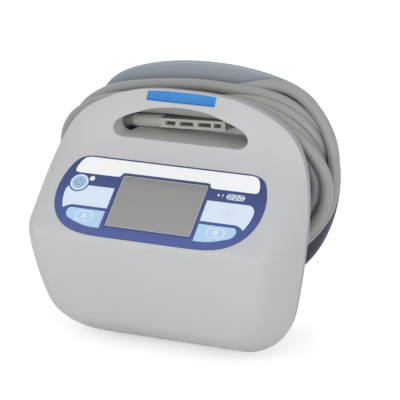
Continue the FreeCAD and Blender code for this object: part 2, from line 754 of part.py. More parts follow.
def front_cover():
    """The grey front shell with its keypad recess, grip opening, screw posts and pump posts."""
    outer = cover_block(0).common(before_edge(-size("edge_trim")))
    shell = outer.cut(cover_block(size("wall"))).cut(prism(grip_outline(), FRONT, BEHIND))
    shell = shell.makeFillet(size("grip_lip"), [grip_edge(shell)])
    core = cover_block(1)
    parts = [face_shape(prism(film_outline(2), 0, size("panel_thickness"))).common(outer)]
    before_plate = before_edge(size("seam") + size("flange_strip") - size("wall") - size("soft_gap"))
    for x, z in boss_places():
        parts.append(disc(x, z, size("boss_radius"), FRONT, BEHIND).common(core).common(before_plate))
    for x, depth in mount_places():
        post = Part.makeCylinder(size("mount_radius"), mount_bottom(), Vector(x, at_depth(depth), 0))
        parts.append(post.common(core))
    for x, z in board_stands():
        parts.append(face_shape(disc(x, z, 2.5, 2, size("panel_thickness") + size("module_thickness"))))
    shell = shell.fuse(parts)
    pockets = [face_shape(prism(film_outline(0.15), -12, size("recess_depth")))]
    pockets.append(face_shape(prism(display_outline(), -12, size("window_thickness"))))
    pockets.append(face_shape(prism(display_outline(-size("window_ledge")), -12, 12)))
    for side in (-1, 1):
        pockets.append(face_shape(prism(key_outline(side, 0), -12, key_floor())))
    power = (-size("power_across"), size("power_up"))
    pockets.append(face_shape(disc(*power, size("power_radius") + size("key_gap"), -12, key_floor())))
    for x, z in key_stems():
        pockets.append(face_shape(disc(x, z, size("stem_radius") + size("slip"), -12, 12)))
    lamp = (-size("lamp_across"), size("lamp_up"))
    pockets.append(face_shape(disc(*lamp, size("lamp_radius") + size("press"), -12, 12)))
    for x, z in boss_places():
        edge = edge_depth(z)
        pockets.append(disc(x, z, size("screw_radius") + size("press"), at_depth(edge - 2.4), at_depth(edge + 8)))
    return shell.cut(pockets)


def key_floor():
    """Depth of the pockets under the keys, with room for their travel."""
    return size("key_thickness") - size("key_proud") + size("key_travel") + size("play")


def board_stands():
    """Posts that carry the keypad board: across, up the face."""
    return [(side * 56.5, z) for side in (-1, 1) for z in (18.0, 42.0)]


def ring_strip(inset, width, start, end):
    """A band along the cover's outline between two offsets from the edge curve."""
    outer = prism(cover_outline(inset), FRONT, BEHIND)
    band = outer.cut(prism(cover_outline(inset + width), FRONT, BEHIND)) if width else outer
    return band.common(before_edge(end)).cut(before_edge(start))


def hub_outline(inset=0.0):
    """The waist's section."""
    half = size("hub_width") / 2 - inset
    low, high = size("hub_bottom") + inset, size("hub_top") - inset
    return rounded(-half, half, low, high, size("hub_corner") - inset)


def rear_case():
    """Flange behind the cover, waist for the hoses, base tongue, and the seats of what the case carries."""
    start, end = size("seam"), size("seam") + size("flange_strip")
    plate = end - size("wall")
    inset = size("flange_inset")
    rear = at_depth(size("rear_depth"))
    parts = [ring_strip(inset, 0, plate, end), ring_strip(inset, size("wall"), start, end)]
    rib_inset = size("wall") + size("rib_gap")
    rib = ring_strip(rib_inset, size("rib_width"), -size("rib_reach"), plate + 0.5)
    parts.append(rib.common(behind_front(rib_inset)))
    parts.append(prism(hub_outline(), at_depth(25), rear).cut(before_edge(plate)))
    half = size("base_width") / 2
    tongue = rounded(-half, half, at_depth(size("base_front")), at_depth(size("base_back")), 12)
    tongue.rotate(Vector(), Vector(1, 0, 0), -90)
    tongue_face = Part.Face(tongue)
    # the rounded rectangle was drawn in XZ and now lies in the table's plane
    box = tongue_face.BoundBox
    middle = at_depth((size("base_front") + size("base_back")) / 2)
    tongue_face.translate(Vector(0, middle - (box.YMin + box.YMax) / 2, BOTTOM - box.ZMin))
    parts.append(tongue_face.extrude(Vector(0, 0, size("base_thickness"))).cut(before_edge(start)))
    case = parts[0].fuse(parts[1:])
    hollow = prism(hub_outline(size("wall")), at_depth(15), rear - size("wall"))
    case = case.cut(hollow)
    extras = []
    floor = size("hub_bottom") + size("wall")
    for x, y in board_posts():
        height = size("board_standoff")
        extras.append(Part.makeCylinder(3, height + 1, Vector(x, at_depth(y), floor - 1)))
    for x, z in main_posts():
        start_y = at_depth(size("main_depth") + size("board_thickness"))
        extras.append(disc(x, z, 3, start_y, rear - 1))
    case = case.fuse(extras)
    holes = [prism(grip_outline(size("liner_wall") + size("liner_gap") + size("play")), FRONT, at_depth(size("liner_sleeve")))]
    for x, z in boss_places():
        holes.append(disc(x, z, size("screw_radius") + 0.3, FRONT, at_depth(size("coil_front"))))
        holes.append(disc(x, z, size("screw_head") + size("play"), at_depth(screw_seat(z)), at_depth(size("coil_front"))))
    for side in (-1, 1):
        x = side * size("rod_spread") / 2
        holes.append(disc(x, size("rod_height"), size("bush_radius") + size("press"), rear - 6, BEHIND))
    half, high = size("inlet_width") / 2 + 0.1, size("inlet_height") / 2 + 0.1
    z = size("inlet_centre")
    holes.append(prism(rounded(-half, half, z - high, z + high, 0.2), rear - 6, BEHIND))
    for y in port_depths():
        start_x = size("hub_width") / 2 - 6
        hole = Part.makeCylinder(size("barb_radius") + size("press"), 12, Vector(start_x, at_depth(y), size("port_height")))
        hole.rotate(Vector(start_x, at_depth(y), size("port_height")), Vector(0, 1, 0), 90)
        holes.append(hole)
    return case.cut(holes)


def port_depths():
    """Depths of the hose ports A and B."""
    return (size("port_front"), size("port_front") + size("port_pitch"))


def clip_front():
    """Depth of the rod collars' front faces: the springs still have room when the hook is pulled out."""
    squeezed = size("spring_turns") * size("spring_wire") + 2
    return size("bush_front") - size("hook_travel") - squeezed - size("clip_thickness")


def board_posts():
    """Power board posts: x, depth."""
    x = size("power_board_width") / 2 - 5
    return [(side * x, y) for side in (-1, 1) for y in (size("power_board_front") + 5, size("power_board_back") - 5)]


def main_posts():
    """Main board posts: x, z."""
    x = size("main_width") / 2 - 5
    return [(side * x, z) for side in (-1, 1) for z in (size("main_bottom") + 5, size("main_top") - 5)]


def grip_liner():
    """Sleeve through the handle opening, with a floor that runs back over the waist to a low stop."""
    wall, gap = size("liner_wall"), size("liner_gap")
    sleeve, back = at_depth(size("liner_sleeve")), at_depth(size("liner_back"))
    ring = prism(grip_outline(gap + wall), FRONT, sleeve).cut(prism(grip_outline(gap), FRONT - 1, sleeve + 1))
    ring = ring.common(behind_front(size("wall") + size("soft_gap")))
    half = size("grip_width") / 2 - size("liner_inset")
    low = size("grip_floor") - gap - wall
    floor = Part.makeBox(2 * half, back - sleeve + 1, wall, Vector(-half, sleeve - 1, low))
    stop = Part.makeBox(2 * half, wall, wall + size("liner_stop"), Vector(-half, back - wall, low))
    return ring.fuse([floor, stop]).removeSplitter()


def smooth_plate(half, start, end):
    """A plate with a smooth outline from the points of its right half."""
    return prism(closed_loop(half), start, end)


def bed_hook():
    """The slate plate behind the hoses, with two side windows and a notch for the mains plug."""
    half, low, high = size("hook_width") / 2, size("hook_bottom"), size("hook_top")
    shares = ((0.0, 1.0), (0.18, 0.996), (0.36, 0.983), (0.53, 0.96), (0.68, 0.927), (0.79, 0.882), (0.87, 0.82))
    shares += ((0.935, 0.745), (0.98, 0.66), (1.0, 0.57), (0.993, 0.475), (0.965, 0.385), (0.915, 0.30))
    shares += ((0.845, 0.22), (0.75, 0.147), (0.63, 0.085), (0.48, 0.038), (0.32, 0.010), (0.15, 0.0), (0.0, 0.0))
    back = at_depth(size("body_depth"))
    front = back - size("hook_thickness")
    plate = smooth_plate([(half * x, low + (high - low) * z) for x, z in shares], front, back)
    plate = plate.makeFillet(size("hook_edge"), plate.Edges[:])
    cuts = []
    for side in (-1, 1):
        pair = sorted((side * size("window_inner"), side * size("window_outer")))
        cuts.append(prism(rounded(*pair, size("window_low"), size("window_high"), 6), front - 1, back + 1))
        x = side * size("rod_spread") / 2
        cuts.append(disc(x, size("rod_height"), size("rod_screw_radius") + 0.1, front - 1, back + 1))
        cuts.append(disc(x, size("rod_height"), size("rod_screw_head") + 0.1, back - 2.4, back + 1))
    notch = size("notch_width") / 2
    cuts.append(prism(rounded(-notch, notch, low - 20, size("notch_top"), 8), front - 1, back + 1))
    return plate.cut(cuts)


# ---------------------------------------------------------------- tubes


def bent_path(points):
    """Straight runs joined by tangent arcs, each as large as its two runs allow, and the arcs' radii."""
    edges, radii = [], []
    here = points[0]
    for before, corner, after in zip(points, points[1:], points[2:]):
        into, out = (corner - before).normalize(), (after - corner).normalize()
        half = into.getAngle(out) / 2
        reach = 0.45 * min((corner - before).Length, (after - corner).Length)
        radius = reach / math.tan(half)
        start, end = corner - into * reach, corner + out * reach
        inward = (out - into).normalize()
        middle = corner + inward * (radius / math.cos(half) - radius)
        edges.append(Part.LineSegment(here, start).toShape())
        edges.append(Part.Arc(start, middle, end).toShape())
        radii.append(round(radius, 1))
        here = end
    edges.append(Part.LineSegment(here, points[-1]).toShape())
    return Part.Wire(edges), radii


def tube(name, route, radius):
    """A round tube along a route of (x, depth, z) points."""
    points = [Vector(x, at_depth(y), z) for x, y, z in route]
    path, radii = bent_path(points)
    profile = Part.Wire([Part.Circle(points[0], points[1] - points[0], radius).toShape()])
    shape = path.makePipeShell([profile], True, False)
    expected = math.pi * radius**2 * path.Length
    print(f"{name}: length {path.Length:.1f}, radii {radii}, volume share {shape.Volume / expected:.4f}")
    return shape


# ---------------------------------------------------------------- build: shells

shape_node(front_cover(), "front_cover")
shape_node(rear_case(), "rear_case")
shape_node(grip_liner(), "grip_liner")
shape_node(bed_hook(), "bed_hook")

label_box = Part.makeBox(
    size("label_left") + size("label_right"), 40, 30,
    Vector(-size("label_left"), FRONT, TOP - size("label_drop")),
)
label_box.translate(Vector(0, at_depth(size("brow_depth")) - FRONT - 20, 0))
label = cover_block(-size("label_thickness")).common(label_box).common(before_edge(-1)).cut(cover_block(0))
shape_node(label, "plain_label")

feet = []
for side in (-1, 1):
    for depth in ("foot_front", "foot_back"):
        foot = DOC.addObject("Part::Cone", "foot")
        bind(foot, Radius1="foot_radius - 0.6", Radius2="foot_radius", Height="foot_height")
        feet.append(bind(foot, x=f"{side} * foot_spread / 2", y=deep(depth), z="0"))
node(group("feet_group", feet), "feet")

# ---------------------------------------------------------------- build: keypad

top, floor = -size("film_proud"), size("recess_depth")
film = prism(film_outline(), top, floor)
openings = [prism(display_outline(0.1), -12, 12)]
openings += [prism(key_outline(side, 0), -12, 12) for side in (-1, 1)]
openings.append(disc(-size("power_across"), size("power_up"), size("power_radius") + size("key_gap"), -12, 12))
openings.append(disc(-size("lamp_across"), size("lamp_up"), size("lamp_radius") + 0.1, -12, 12))
openings += [lens_shape(side, 0.1, -12, 12) for side in (-1, 1)]
openings.append(prism(gauge_outline(0.1), -12, 12))
charge_places = [(size("charge_across") + i * size("charge_pitch"), size("gauge_up") + 0.2) for i in range(2)]
openings += [disc(x, z, size("charge_radius") + 0.1, -12, 12) for x, z in charge_places]
shape_node(film.cut(openings), "keypad_film", FACE)
shape_node(lens_shape(-1, 0, top, floor), "left_lens", FACE)
shape_node(lens_shape(1, 0, top, floor), "right_lens", FACE)
shape_node(prism(gauge_outline(), top, floor), "battery_gauge", FACE)
charge = [disc(x, z, size("charge_radius"), top, floor) for x, z in charge_places]
shape_node(Part.makeCompound(charge), "charge_lamps", FACE)


def key_shape(plate, across, up):
    """A key plate with its stem and the narrow tip that works the switch."""
    under = size("key_thickness") - size("key_proud")
    stem = disc(across, up, size("stem_radius"), under - 0.2, size("stem_shoulder"))
    tip = disc(across, up, size("tip_radius"), size("stem_shoulder") - 0.2, size("tip_reach"))
    return plate.fuse([stem, tip])


key_top, key_under = -size("key_proud"), size("key_thickness") - size("key_proud")
stems = key_stems()
for side, name, (across, up) in ((-1, "button_a", stems[0]), (1, "button_b", stems[1])):
    plate = prism(key_outline(side, -size("key_gap")), key_top, key_under)
    shape_node(key_shape(plate, across, up), name, FACE)
power_plate = disc(*stems[2], size("power_radius"), key_top, key_under)
power_plate = power_plate.makeFillet(0.4, [power_plate.Edges[0]])
shape_node(key_shape(power_plate, *stems[2]), "power_button", FACE)

window = new_body("window_body")
window_pad = pad(window, rectangle_sketch(window, "XZ_Plane", "display_width - 0.2", "display_height - 0.2"),
                 "window_thickness", True)
round_edges(window, window_pad, "display_corner", lambda e: abs(e.BoundBox.YLength - e.Length) < 1e-6)
window.Placement = Placement(Vector(), Rotation(Vector(1, 0, 0), -size("face_lean")))
bind(
    window, turn="-face_lean",
    y=deep("face_depth + sin(face_lean) * display_height / 2"),
    z="face_height + cos(face_lean) * display_height / 2",
)
node(window, "display_window")

board_front = "panel_thickness + module_thickness"
module = block("module_box", ("-module_width / 2", "module_width / 2"), ("panel_thickness", board_front),
               ("-3", "display_height + 3"))
node(on_face(group("module_group", [module])), "display_module")

keyboard = block("keyboard_box", ("-keyboard_width / 2", "keyboard_width / 2"),
                 (board_front, f"{board_front} + board_thickness"), ("-5", "display_height + 7"))
keyboard_plug = block("keyboard_plug", ("-10", "10"), (f"{board_front} + board_thickness",
                      f"{board_front} + board_thickness + 4"), ("24", "30"))
node(on_face(fuse("keyboard_group", [keyboard, keyboard_plug])), "keypad_board")

switches = []
for across, up in (("-stem_across", "stem_up"), ("stem_across", "stem_up"), ("-power_across", "power_up")):
    half = "switch_side / 2"
    housing = block("switch_box", (f"{across} - {half}", f"{across} + {half}"),
                    (f"{board_front} - switch_height", board_front), (f"{up} - {half}", f"{up} + {half}"))
    bore = rod("switch_bore", "y", across, "0", up, "tip_radius + slip", "20")
    switches.append(cut("switch", housing, bore))
node(on_face(group("switch_group", switches)), "key_switches")

lamp = rod("lamp_rod", "y", "-lamp_across", "-film_proud", "lamp_up", "lamp_radius",
           f"film_proud + {board_front}")
node(on_face(group("lamp_group", [lamp])), "status_lamp")

# ---------------------------------------------------------------- build: pump and air path

motor = rod("motor_can", "x", "head_left - motor_length", deep("pump_depth"), "pump_height", "motor_radius",
            "motor_length")
motor_end = rod("motor_end", "x", "head_left - motor_length - 3", deep("pump_depth"), "pump_height", "5", "3.5")
node(fuse("motor_group", [motor, motor_end]), "pump_motor")

head = new_body("head_body")
head_pad = pad(head, rectangle_sketch(head, "YZ_Plane", "head_side", "head_side"), "head_length")
round_edges(head, head_pad, "3", lambda e: abs(e.BoundBox.XLength - e.Length) < 1e-6)
bind(head, x="head_left", y=deep("pump_depth"), z="pump_height")
node(head, "pump_head")

bracket_top = "pump_height - head_side / 2"
plate = block("bracket_plate", ("bracket_left", "head_left + head_length"),
              (deep("mount_front - mount_radius - 0.5"), deep("mount_back + mount_radius + 3")),
              (f"{bracket_top} - bracket_thickness", bracket_top))
saddle = block("bracket_saddle", ("bracket_left", "head_left - 6"), (deep("pump_depth - 8"), deep("pump_depth + 8")),
               (f"{bracket_top} - 0.5", f"{bracket_top} + 5"))
saddle_bore = rod("saddle_bore", "x", "bracket_left - 10", deep("pump_depth"), "pump_height",
                  "motor_radius + 0.05", "motor_length + 20")
node(fuse("bracket_group", [plate, cut("saddle", saddle, saddle_bore)]), "pump_bracket")

mounts = []
for x in ("bracket_left + mount_radius", "head_left + head_length - mount_radius"):
    for depth in ("mount_front", "mount_back"):
        mounts.append(rod("mount", "z", x, deep(depth), f"{bracket_top} - bracket_thickness - mount_height",
                          "mount_radius", "mount_height"))
node(group("mount_group", mounts), "pump_mounts")

node(rod("filter_disc", "x", "head_left + head_length", deep("pump_depth"), "pump_height + 5", "9", "6"),
     "inlet_filter")
muffler = new_body("muffler_body")
muffler_pad = pad(muffler, circle_sketch(muffler, "XY_Plane", "6.5"), "12")
round_edges(muffler, muffler_pad, "1.5", lambda e: e.CenterOfMass.z > 6)
bind(muffler, x="head_left + 14", y=deep("pump_depth + 4"), z="pump_height + head_side / 2")
node(muffler, "muffler")

hub_inner = "hub_width / 2 - wall"
manifold = block("manifold_box", (f"{hub_inner} - manifold_width", hub_inner),
                 (deep("manifold_front"), deep("manifold_front + manifold_length")),
                 ("port_height - manifold_height / 2", "port_height + manifold_height / 2"))
node(manifold, "valve_manifold")
valves = []
for i in range(3):
    start = f"manifold_front + {0.5 + 10.5 * i}"
    body = block("valve_box", (f"{hub_inner} - manifold_width - 14", f"{hub_inner} - manifold_width"),
                 (deep(start), deep(f"{start} + 9.5")), ("port_height - 5", "port_height + 5"))
    coil = rod("valve_coil", "x", f"{hub_inner} - manifold_width - 17", deep(f"{start} + 4.75"), "port_height",
               "3", "3.5")
    valves.append(fuse("valve", [body, coil]))
node(group("valve_group", valves), "solenoid_valves")
node(block("sensor_box", (f"{hub_inner} - manifold_width + 0.5", f"{hub_inner} - manifold_width + 7.5"),
           (deep("manifold_front - 5"), deep("manifold_front")), ("port_height - 6", "port_height + 3")),
     "pressure_sensor")
tube_end = size("hub_width") / 2 - size("wall") - 6
pump_back = size("pump_depth") + size("head_side") / 2
air_route = (
    (10, pump_back, size("pump_height") + 9),
    (10, pump_back + 6, size("pump_height") + 9),
    (20, pump_back + 11, size("pump_height") + 10.5),
    (tube_end - 12, pump_back + 8.5, size("port_height") - 2),
    (tube_end, size("manifold_front") - 6, size("port_height")),
    (tube_end, size("manifold_front"), size("port_height")),
)
shape_node(tube("air_tube", air_route, size("air_tube_radius")), "air_tube")

for letter, depth in (("a", "port_front"), ("b", "port_front + port_pitch")):
    neck = rod("elbow_neck", "x", hub_inner, deep(depth), "port_height", "barb_radius", "wall + 6")
    knee = DOC.addObject("Part::Sphere", "elbow_knee")
    bind(knee, Radius="barb_radius + 0.8", x=f"{hub_inner} + wall + 6", y=deep(depth), z="port_height")
    drop = rod("elbow_drop", "z", f"{hub_inner} + wall + 6", deep(depth), "port_height - 10",
               "hose_diameter / 2", "8")
    node(fuse("elbow_group", [neck, knee, drop]), f"port_elbow_{letter}")

# ---------------------------------------------------------------- build: boards, power and battery

node(block("main_board_box", ("-main_width / 2", "main_width / 2"),
           (deep("main_depth"), deep("main_depth + board_thickness")), ("main_bottom", "main_top")), "main_board")
chips = []
for x, z, wide, high, thick in ((-22, 92, 14, 14, 1.8), (-4, 80, 9, 12, 1.6), (12, 80, 18, 6, 6), (30, 91, 8, 8, 2.4)):
    chips.append(block("chip", (f"{x} - {wide / 2}", f"{x} + {wide / 2}"), (deep(f"main_depth - {thick}"), deep("main_depth")),
                       (f"main_bottom + {z - 73} - {high / 2}", f"main_bottom + {z - 73} + {high / 2}")))
for x in (-33, -33 + 9):
    chips.append(rod("can", "y", f"{x}", deep("main_depth - 8"), "main_bottom + 6", "3.2", "8"))
node(group("chip_group", chips), "main_board_parts")
buzzer = new_body("buzzer_body")
buzzer_pad = pad(buzzer, circle_sketch(buzzer, "XZ_Plane", "5.5"), "5")
round_edges(buzzer, buzzer_pad, "0.8", lambda e: e.CenterOfMass.y < -4)
bind(buzzer, x="18", y=deep("main_depth"), z="main_top - 9")
node(buzzer, "buzzer")

board_floor = "hub_bottom + wall + board_standoff"
board_top = f"{board_floor} + board_thickness"
node(block("power_board_box", ("-power_board_width / 2", "power_board_width / 2"),
           (deep("power_board_front"), deep("power_board_back")), (board_floor, board_top)), "power_board")
core = block("transformer_core", ("-32", "-10"), (deep("power_board_front + 4"), deep("power_board_front + 24")),
             (board_top, f"{board_top} + 15"))
winding = block("transformer_winding", ("-28", "-14"), (deep("power_board_front + 2"), deep("power_board_front + 26")),
                (f"{board_top} + 2", f"{board_top} + 18"))
node(fuse("transformer_group", [core, winding]), "transformer")
heat_sink = block("heat_sink", ("26", "28"), (deep("power_board_front + 3"), deep("power_board_back - 3")),
                  (board_top, f"{board_top} + 16"))
terminal = block("terminal", ("-6", "8"), (deep("power_board_back - 9"), deep("power_board_back - 2")),
                 (board_top, f"{board_top} + 9"))
cans = [rod("power_can", "z", "16", deep(f"power_board_front + {y}"), board_top, "5.5", "18") for y in (8, 20)]
node(group("power_part_group", [heat_sink, terminal, *cans]), "power_parts")

inlet_front = "rear_depth - inlet_length"
inlet = fuse("inlet_outer", [
    block("inlet_box", ("-inlet_width / 2", "inlet_width / 2"), (deep(inlet_front), deep("rear_depth + 0.5")),
          ("inlet_centre - inlet_height / 2", "inlet_centre + inlet_height / 2")),
    block("inlet_plate", ("-inlet_width / 2 - 3", "inlet_width / 2 + 3"),
          (deep("rear_depth"), deep("rear_depth + inlet_flange")),
          ("inlet_centre - inlet_height / 2 - 2.5", "inlet_centre + inlet_height / 2 + 2.5")),
])
inlet_hollow = block("inlet_hollow", ("-inlet_width / 2 + 1.5", "inlet_width / 2 - 1.5"),
                     (deep(f"{inlet_front} + 7"), deep("rear_depth + 9")),
                     ("inlet_centre - inlet_height / 2 + 2", "inlet_centre + inlet_height / 2 - 2"))
pins = []
for x, z in ((-7, -2), (0, 2), (7, -2)):
    pins.append(block("inlet_pin", (f"{x} - pin_width / 2", f"{x} + pin_width / 2"),
                      (deep(f"{inlet_front} + 6"), deep("rear_depth - 4.5")),
                      (f"inlet_centre + {z} - pin_height / 2", f"inlet_centre + {z} + pin_height / 2")))
node(fuse("inlet_group", [cut("inlet_cup", inlet, inlet_hollow), *pins]), "mains_inlet")

keyboard_end = size("panel_thickness") + size("module_thickness") + size("board_thickness") + 4
lean = math.radians(size("face_lean"))
loom_z = size("face_height") + 27 * math.cos(lean) - keyboard_end * math.sin(lean)
loom_y = size("face_depth") + 27 * math.sin(lean) + keyboard_end * math.cos(lean)
loom_start = at_depth(loom_y + 1)
plug_front = at_depth(size("main_depth") - 4)
ribbon = Part.makeBox(18, plug_front - loom_start, 0.7, Vector(-9, loom_start, loom_z))
ribbon_plug = Part.makeBox(20, 4, 6, Vector(-10, plug_front, loom_z - 2.6))
wires = []
for x in (-3, 1, 5):
    wire_start = at_depth(size("power_board_back") - 2)
    wire_end = at_depth(size("rear_depth") - size("inlet_length"))
    wires.append(disc(x, size("inlet_centre") - 6, 1, wire_start, wire_end))
shape_node(Part.makeCompound([ribbon.fuse(ribbon_plug), *wires]), "wiring_loom")

roof = "hub_top - wall"
battery = new_body("battery_body")
battery_pad = pad(battery, rectangle_sketch(battery, "XY_Plane", "battery_width", "battery_length"), "battery_height")
round_edges(battery, battery_pad, "3", lambda e: abs(e.BoundBox.ZLength - e.Length) < 1e-6)
bind(battery, y=deep("battery_front + battery_length / 2"), z=f"{roof} - battery_height - 0.1")
node(battery, "battery_pack")
tray_low = f"{roof} - battery_height - 1.3"
tray_y = (deep("battery_front + 1"), deep("battery_front + battery_length - 1"))
tray = [block("tray_floor", ("-battery_width / 2 - 1.5", "battery_width / 2 + 1.5"), tray_y,
              (tray_low, f"{roof} - battery_height - 0.1"))]
for side in (-1, 1):
    inner, outer = f"{side} * (battery_width / 2 + 0.3)", f"{side} * (battery_width / 2 + 1.5)"
    pair = (inner, outer) if side > 0 else (outer, inner)
    tray.append(block("tray_side", pair, tray_y, (tray_low, roof)))
node(fuse("tray_group", tray), "battery_tray")

# ---------------------------------------------------------------- build: bed hook

CLIP = "(bush_front - hook_travel - spring_turns * spring_wire - 2 - clip_thickness)"
hook_front = "body_depth - hook_thickness"
rods, clips, bushes, springs, pads, hook_screws = [], [], [], [], [], []
for side in (-1, 1):
    x = f"{side} * rod_spread / 2"
    bar = rod("guide_bar", "y", x, deep(f"{CLIP} - 4"), "rod_height", "rod_radius", f"{hook_front} - {CLIP} + 4")
    bore = rod("guide_bore", "y", x, deep(f"{hook_front} - 12"), "rod_height", "rod_screw_radius + 0.05", "20")
    rods.append(cut("guide_rod", bar, bore))
    ring = rod("clip_ring", "y", x, deep(CLIP), "rod_height", "clip_radius", "clip_thickness")
    hole = rod("clip_hole", "y", x, deep(f"{CLIP} - 1"), "rod_height", "rod_radius + 0.02", "clip_thickness + 2")
    clips.append(cut("clip", ring, hole))
    sleeve = rod("bush_sleeve", "y", x, deep("bush_front"), "rod_height", "bush_radius", "rear_depth - bush_front + 0.5")
    flange = rod("bush_plate", "y", x, deep("rear_depth"), "rod_height", "bush_flange", "bush_flange_thickness")
    bush_bore = rod("bush_bore", "y", x, deep("bush_front - 1"), "rod_height", "rod_radius + slip", "30")
    bushes.append(cut("bush", fuse("bush_outer", [sleeve, flange]), bush_bore))
    head_start = "body_depth - 2.3"
    screw_shank = rod("hook_shank", "y", x, deep(f"{hook_front} - 10"), "rod_height", "rod_screw_radius",
                      f"{head_start} - ({hook_front}) + 10.2")
    screw_head = rod("hook_head", "y", x, deep(head_start), "rod_height", "rod_screw_head", "2.1")
    hook_screws.append(fuse("hook_screw", [screw_shank, screw_head]))
    pad_x = f"{side} * pad_spread / 2"
    pads.append(block("pad_box", (f"{pad_x} - pad_width / 2", f"{pad_x} + pad_width / 2"),
                      (deep("rear_depth + soft_gap"), deep(hook_front)),
                      ("pad_centre - pad_height / 2", "pad_centre + pad_height / 2")))
node(group("rod_group", rods), "hook_rods")
node(group("clip_group", clips), "rod_clips")
node(group("bush_group", bushes), "rod_bushes")
node(group("hook_screw_group", hook_screws), "hook_screws")
node(group("pad_group", pads), "hook_pads")

wire = size("spring_wire")
spring_start = clip_front() + size("clip_thickness") + 0.2 + wire / 2
spring_length = size("bush_front") - 0.2 - wire / 2 - spring_start
for side in (-1, 1):
    helix = Part.makeHelix(spring_length / size("spring_turns"), spring_length, size("spring_radius"))
    start = Vector(size("spring_radius"), 0, 0)
    profile = Part.Wire([Part.Circle(start, Vector(0, 1, 0), wire / 2).toShape()])
    spring = Part.Wire(helix.Edges).makePipeShell([profile], True, True)
    spring.rotate(Vector(), Vector(1, 0, 0), -90)
    spring.translate(Vector(side * size("rod_spread") / 2, at_depth(spring_start), size("rod_height")))
    springs.append(spring)
shape_node(Part.makeCompound(springs), "hook_springs")

screws = []
for x, z in boss_places():
    edge = edge_depth(z)
    seat = screw_seat(z)
    shank = disc(x, z, size("screw_radius"), at_depth(edge - 2), at_depth(seat + 0.5))
    screws.append(shank.fuse(disc(x, z, size("screw_head"), at_depth(seat), at_depth(seat + 1.8))))
shape_node(Part.makeCompound(screws), "case_screws")

# ---------------------------------------------------------------- build: hoses and their connectors

hose_radius = size("hose_diameter") / 2
coil_bottom = BOTTOM + size("base_thickness") + size("soft_gap")
half, hole = size("coil_width") / 2, size("coil_hole_width") / 2
coil_outline = rounded(-half, half, coil_bottom, size("coil_top"), size("coil_corner"))
hole_outline = rounded(-hole, hole, size("coil_hole_bottom"), size("coil_hole_top"), size("coil_hole_corner"))
for number, letter in enumerate("ab"):
    start = at_depth(size("coil_front") + number * (size("coil_thickness") + size("coil_gap")))
    end = start + size("coil_thickness")
    coil_shape = prism(coil_outline, start, end).cut(prism(hole_outline, start - 1, end + 1))
    shape_node(coil_shape, f"hose_coil_{letter}")

port_x = size("hub_width") / 2 + 6
port_z = size("port_height") - 10
LEAD_A = ((0, 1.2, -10), (-1.8, 4.2, -20), (-7, 8, -28))
LEAD_B = ((0, 0.1, -10), (-1.8, 0.5, -20), (-7, 1.2, -28))
for letter, depth, bends in zip("ab", port_depths(), (LEAD_A, LEAD_B)):
    lead = [(port_x, depth, port_z)] + [(port_x + x, depth + y, port_z + z) for x, y, z in bends]
    shape_node(tube(f"hose_lead_{letter}", lead, hose_radius), f"hose_lead_{letter}")

plug_y = size("plug_front") + size("plug_thickness") / 2
boot_x = size("plug_left") - size("boot_length")
TAIL_A = ((-34, -3.4, -46), (-33, -3.3, -28), (-26, -2.6, -12.5), (-14.5, -1.2, -3), (0, 0, 0))
tail_a = [(boot_x + x, plug_y + y, size("plug_centre") + z) for x, y, z in TAIL_A]
shape_node(tube("hose_tail_a", tail_a, hose_radius), "hose_tail_a")
side_x, side_y = -size("side_plug_across"), size("side_plug_depth")
boot_z = size("side_plug_bottom") - size("boot_length")
TAIL_B = ((-11.4, 1.7, -28), (-5.4, 1, -18), (-1.2, 0.2, -9), (0, 0, 0))
tail_b = [(side_x + x, side_y + y, boot_z + z) for x, y, z in TAIL_B]
shape_node(tube("hose_tail_b", tail_b, hose_radius), "hose_tail_b")


def connector(name, across):
    """A flat garment connector with a boot, along X from the boot's tip at 0, its slots in the front face."""
    half_high, half_deep = "plug_height / 2", "plug_thickness / 2"
    bar = block("plug_bar", ("boot_length", "boot_length + plug_length"), (f"-{half_deep}", half_deep),
                (f"-{half_high}", half_high))
    boot = DOC.addObject("Part::Cone", "plug_boot")
    boot.Placement = Placement(Vector(), TURNS["x"])
    bind(boot, Radius1="boot_tip", Radius2="boot_radius", Height="boot_length + 0.5")
    slots = []
    for place, wide in ((4, 7), (14, 9.5), (27, 9), (38, 5)):
        slots.append(block("plug_slot", (f"boot_length + {place}", f"boot_length + {place + wide}"),
                           (f"-{half_deep} - 1", f"-{half_deep} + 4"), ("-1.3", "1.3")))
    solid = cut(f"plug_{across}", fuse("plug_outer", [bar, boot]), fuse("plug_slots", slots))
    return node(solid, name)


plug_a = connector("connector_a", "a")
plug_a.Placement = Placement(Vector(), Rotation(Vector(0, 1, 0), -size("plug_tilt")))
bind(plug_a, x="plug_left - boot_length", y=deep("plug_front + plug_thickness / 2"), z="plug_centre")
plug_b = connector("connector_b", "b")
plug_b.Placement = Placement(Vector(), Rotation(Vector(0, 1, 0), -90))
bind(plug_b, x="-side_plug_across", y=deep("side_plug_depth"), z="side_plug_bottom - boot_length")

# ---------------------------------------------------------------- check and write

DOC.recompute()
for item in DOC.Objects:
    if any(word in state for state in item.State for word in ("Invalid", "Error")):
        raise RuntimeError(f"{item.Name} failed: {item.State}")
for item in NODES:
    if item.Shape.isNull() or not item.Shape.isValid() or not item.Shape.Solids:
        raise RuntimeError(f"{item.Label} has no valid shape")

os.makedirs("parts", exist_ok=True)
for item in NODES:
    item.Shape.exportStep(f"parts/{item.Label}.step")
    box = item.Shape.BoundBox
    print(f"{item.Label:18s} {len(item.Shape.Solids)} {item.Shape.Volume:9.0f}  "
          f"x {box.XMin:7.2f} {box.XMax:7.2f}  y {box.YMin:7.2f} {box.YMax:7.2f}  z {box.ZMin:7.2f} {box.ZMax:7.2f}")
print(len(NODES), "nodes")
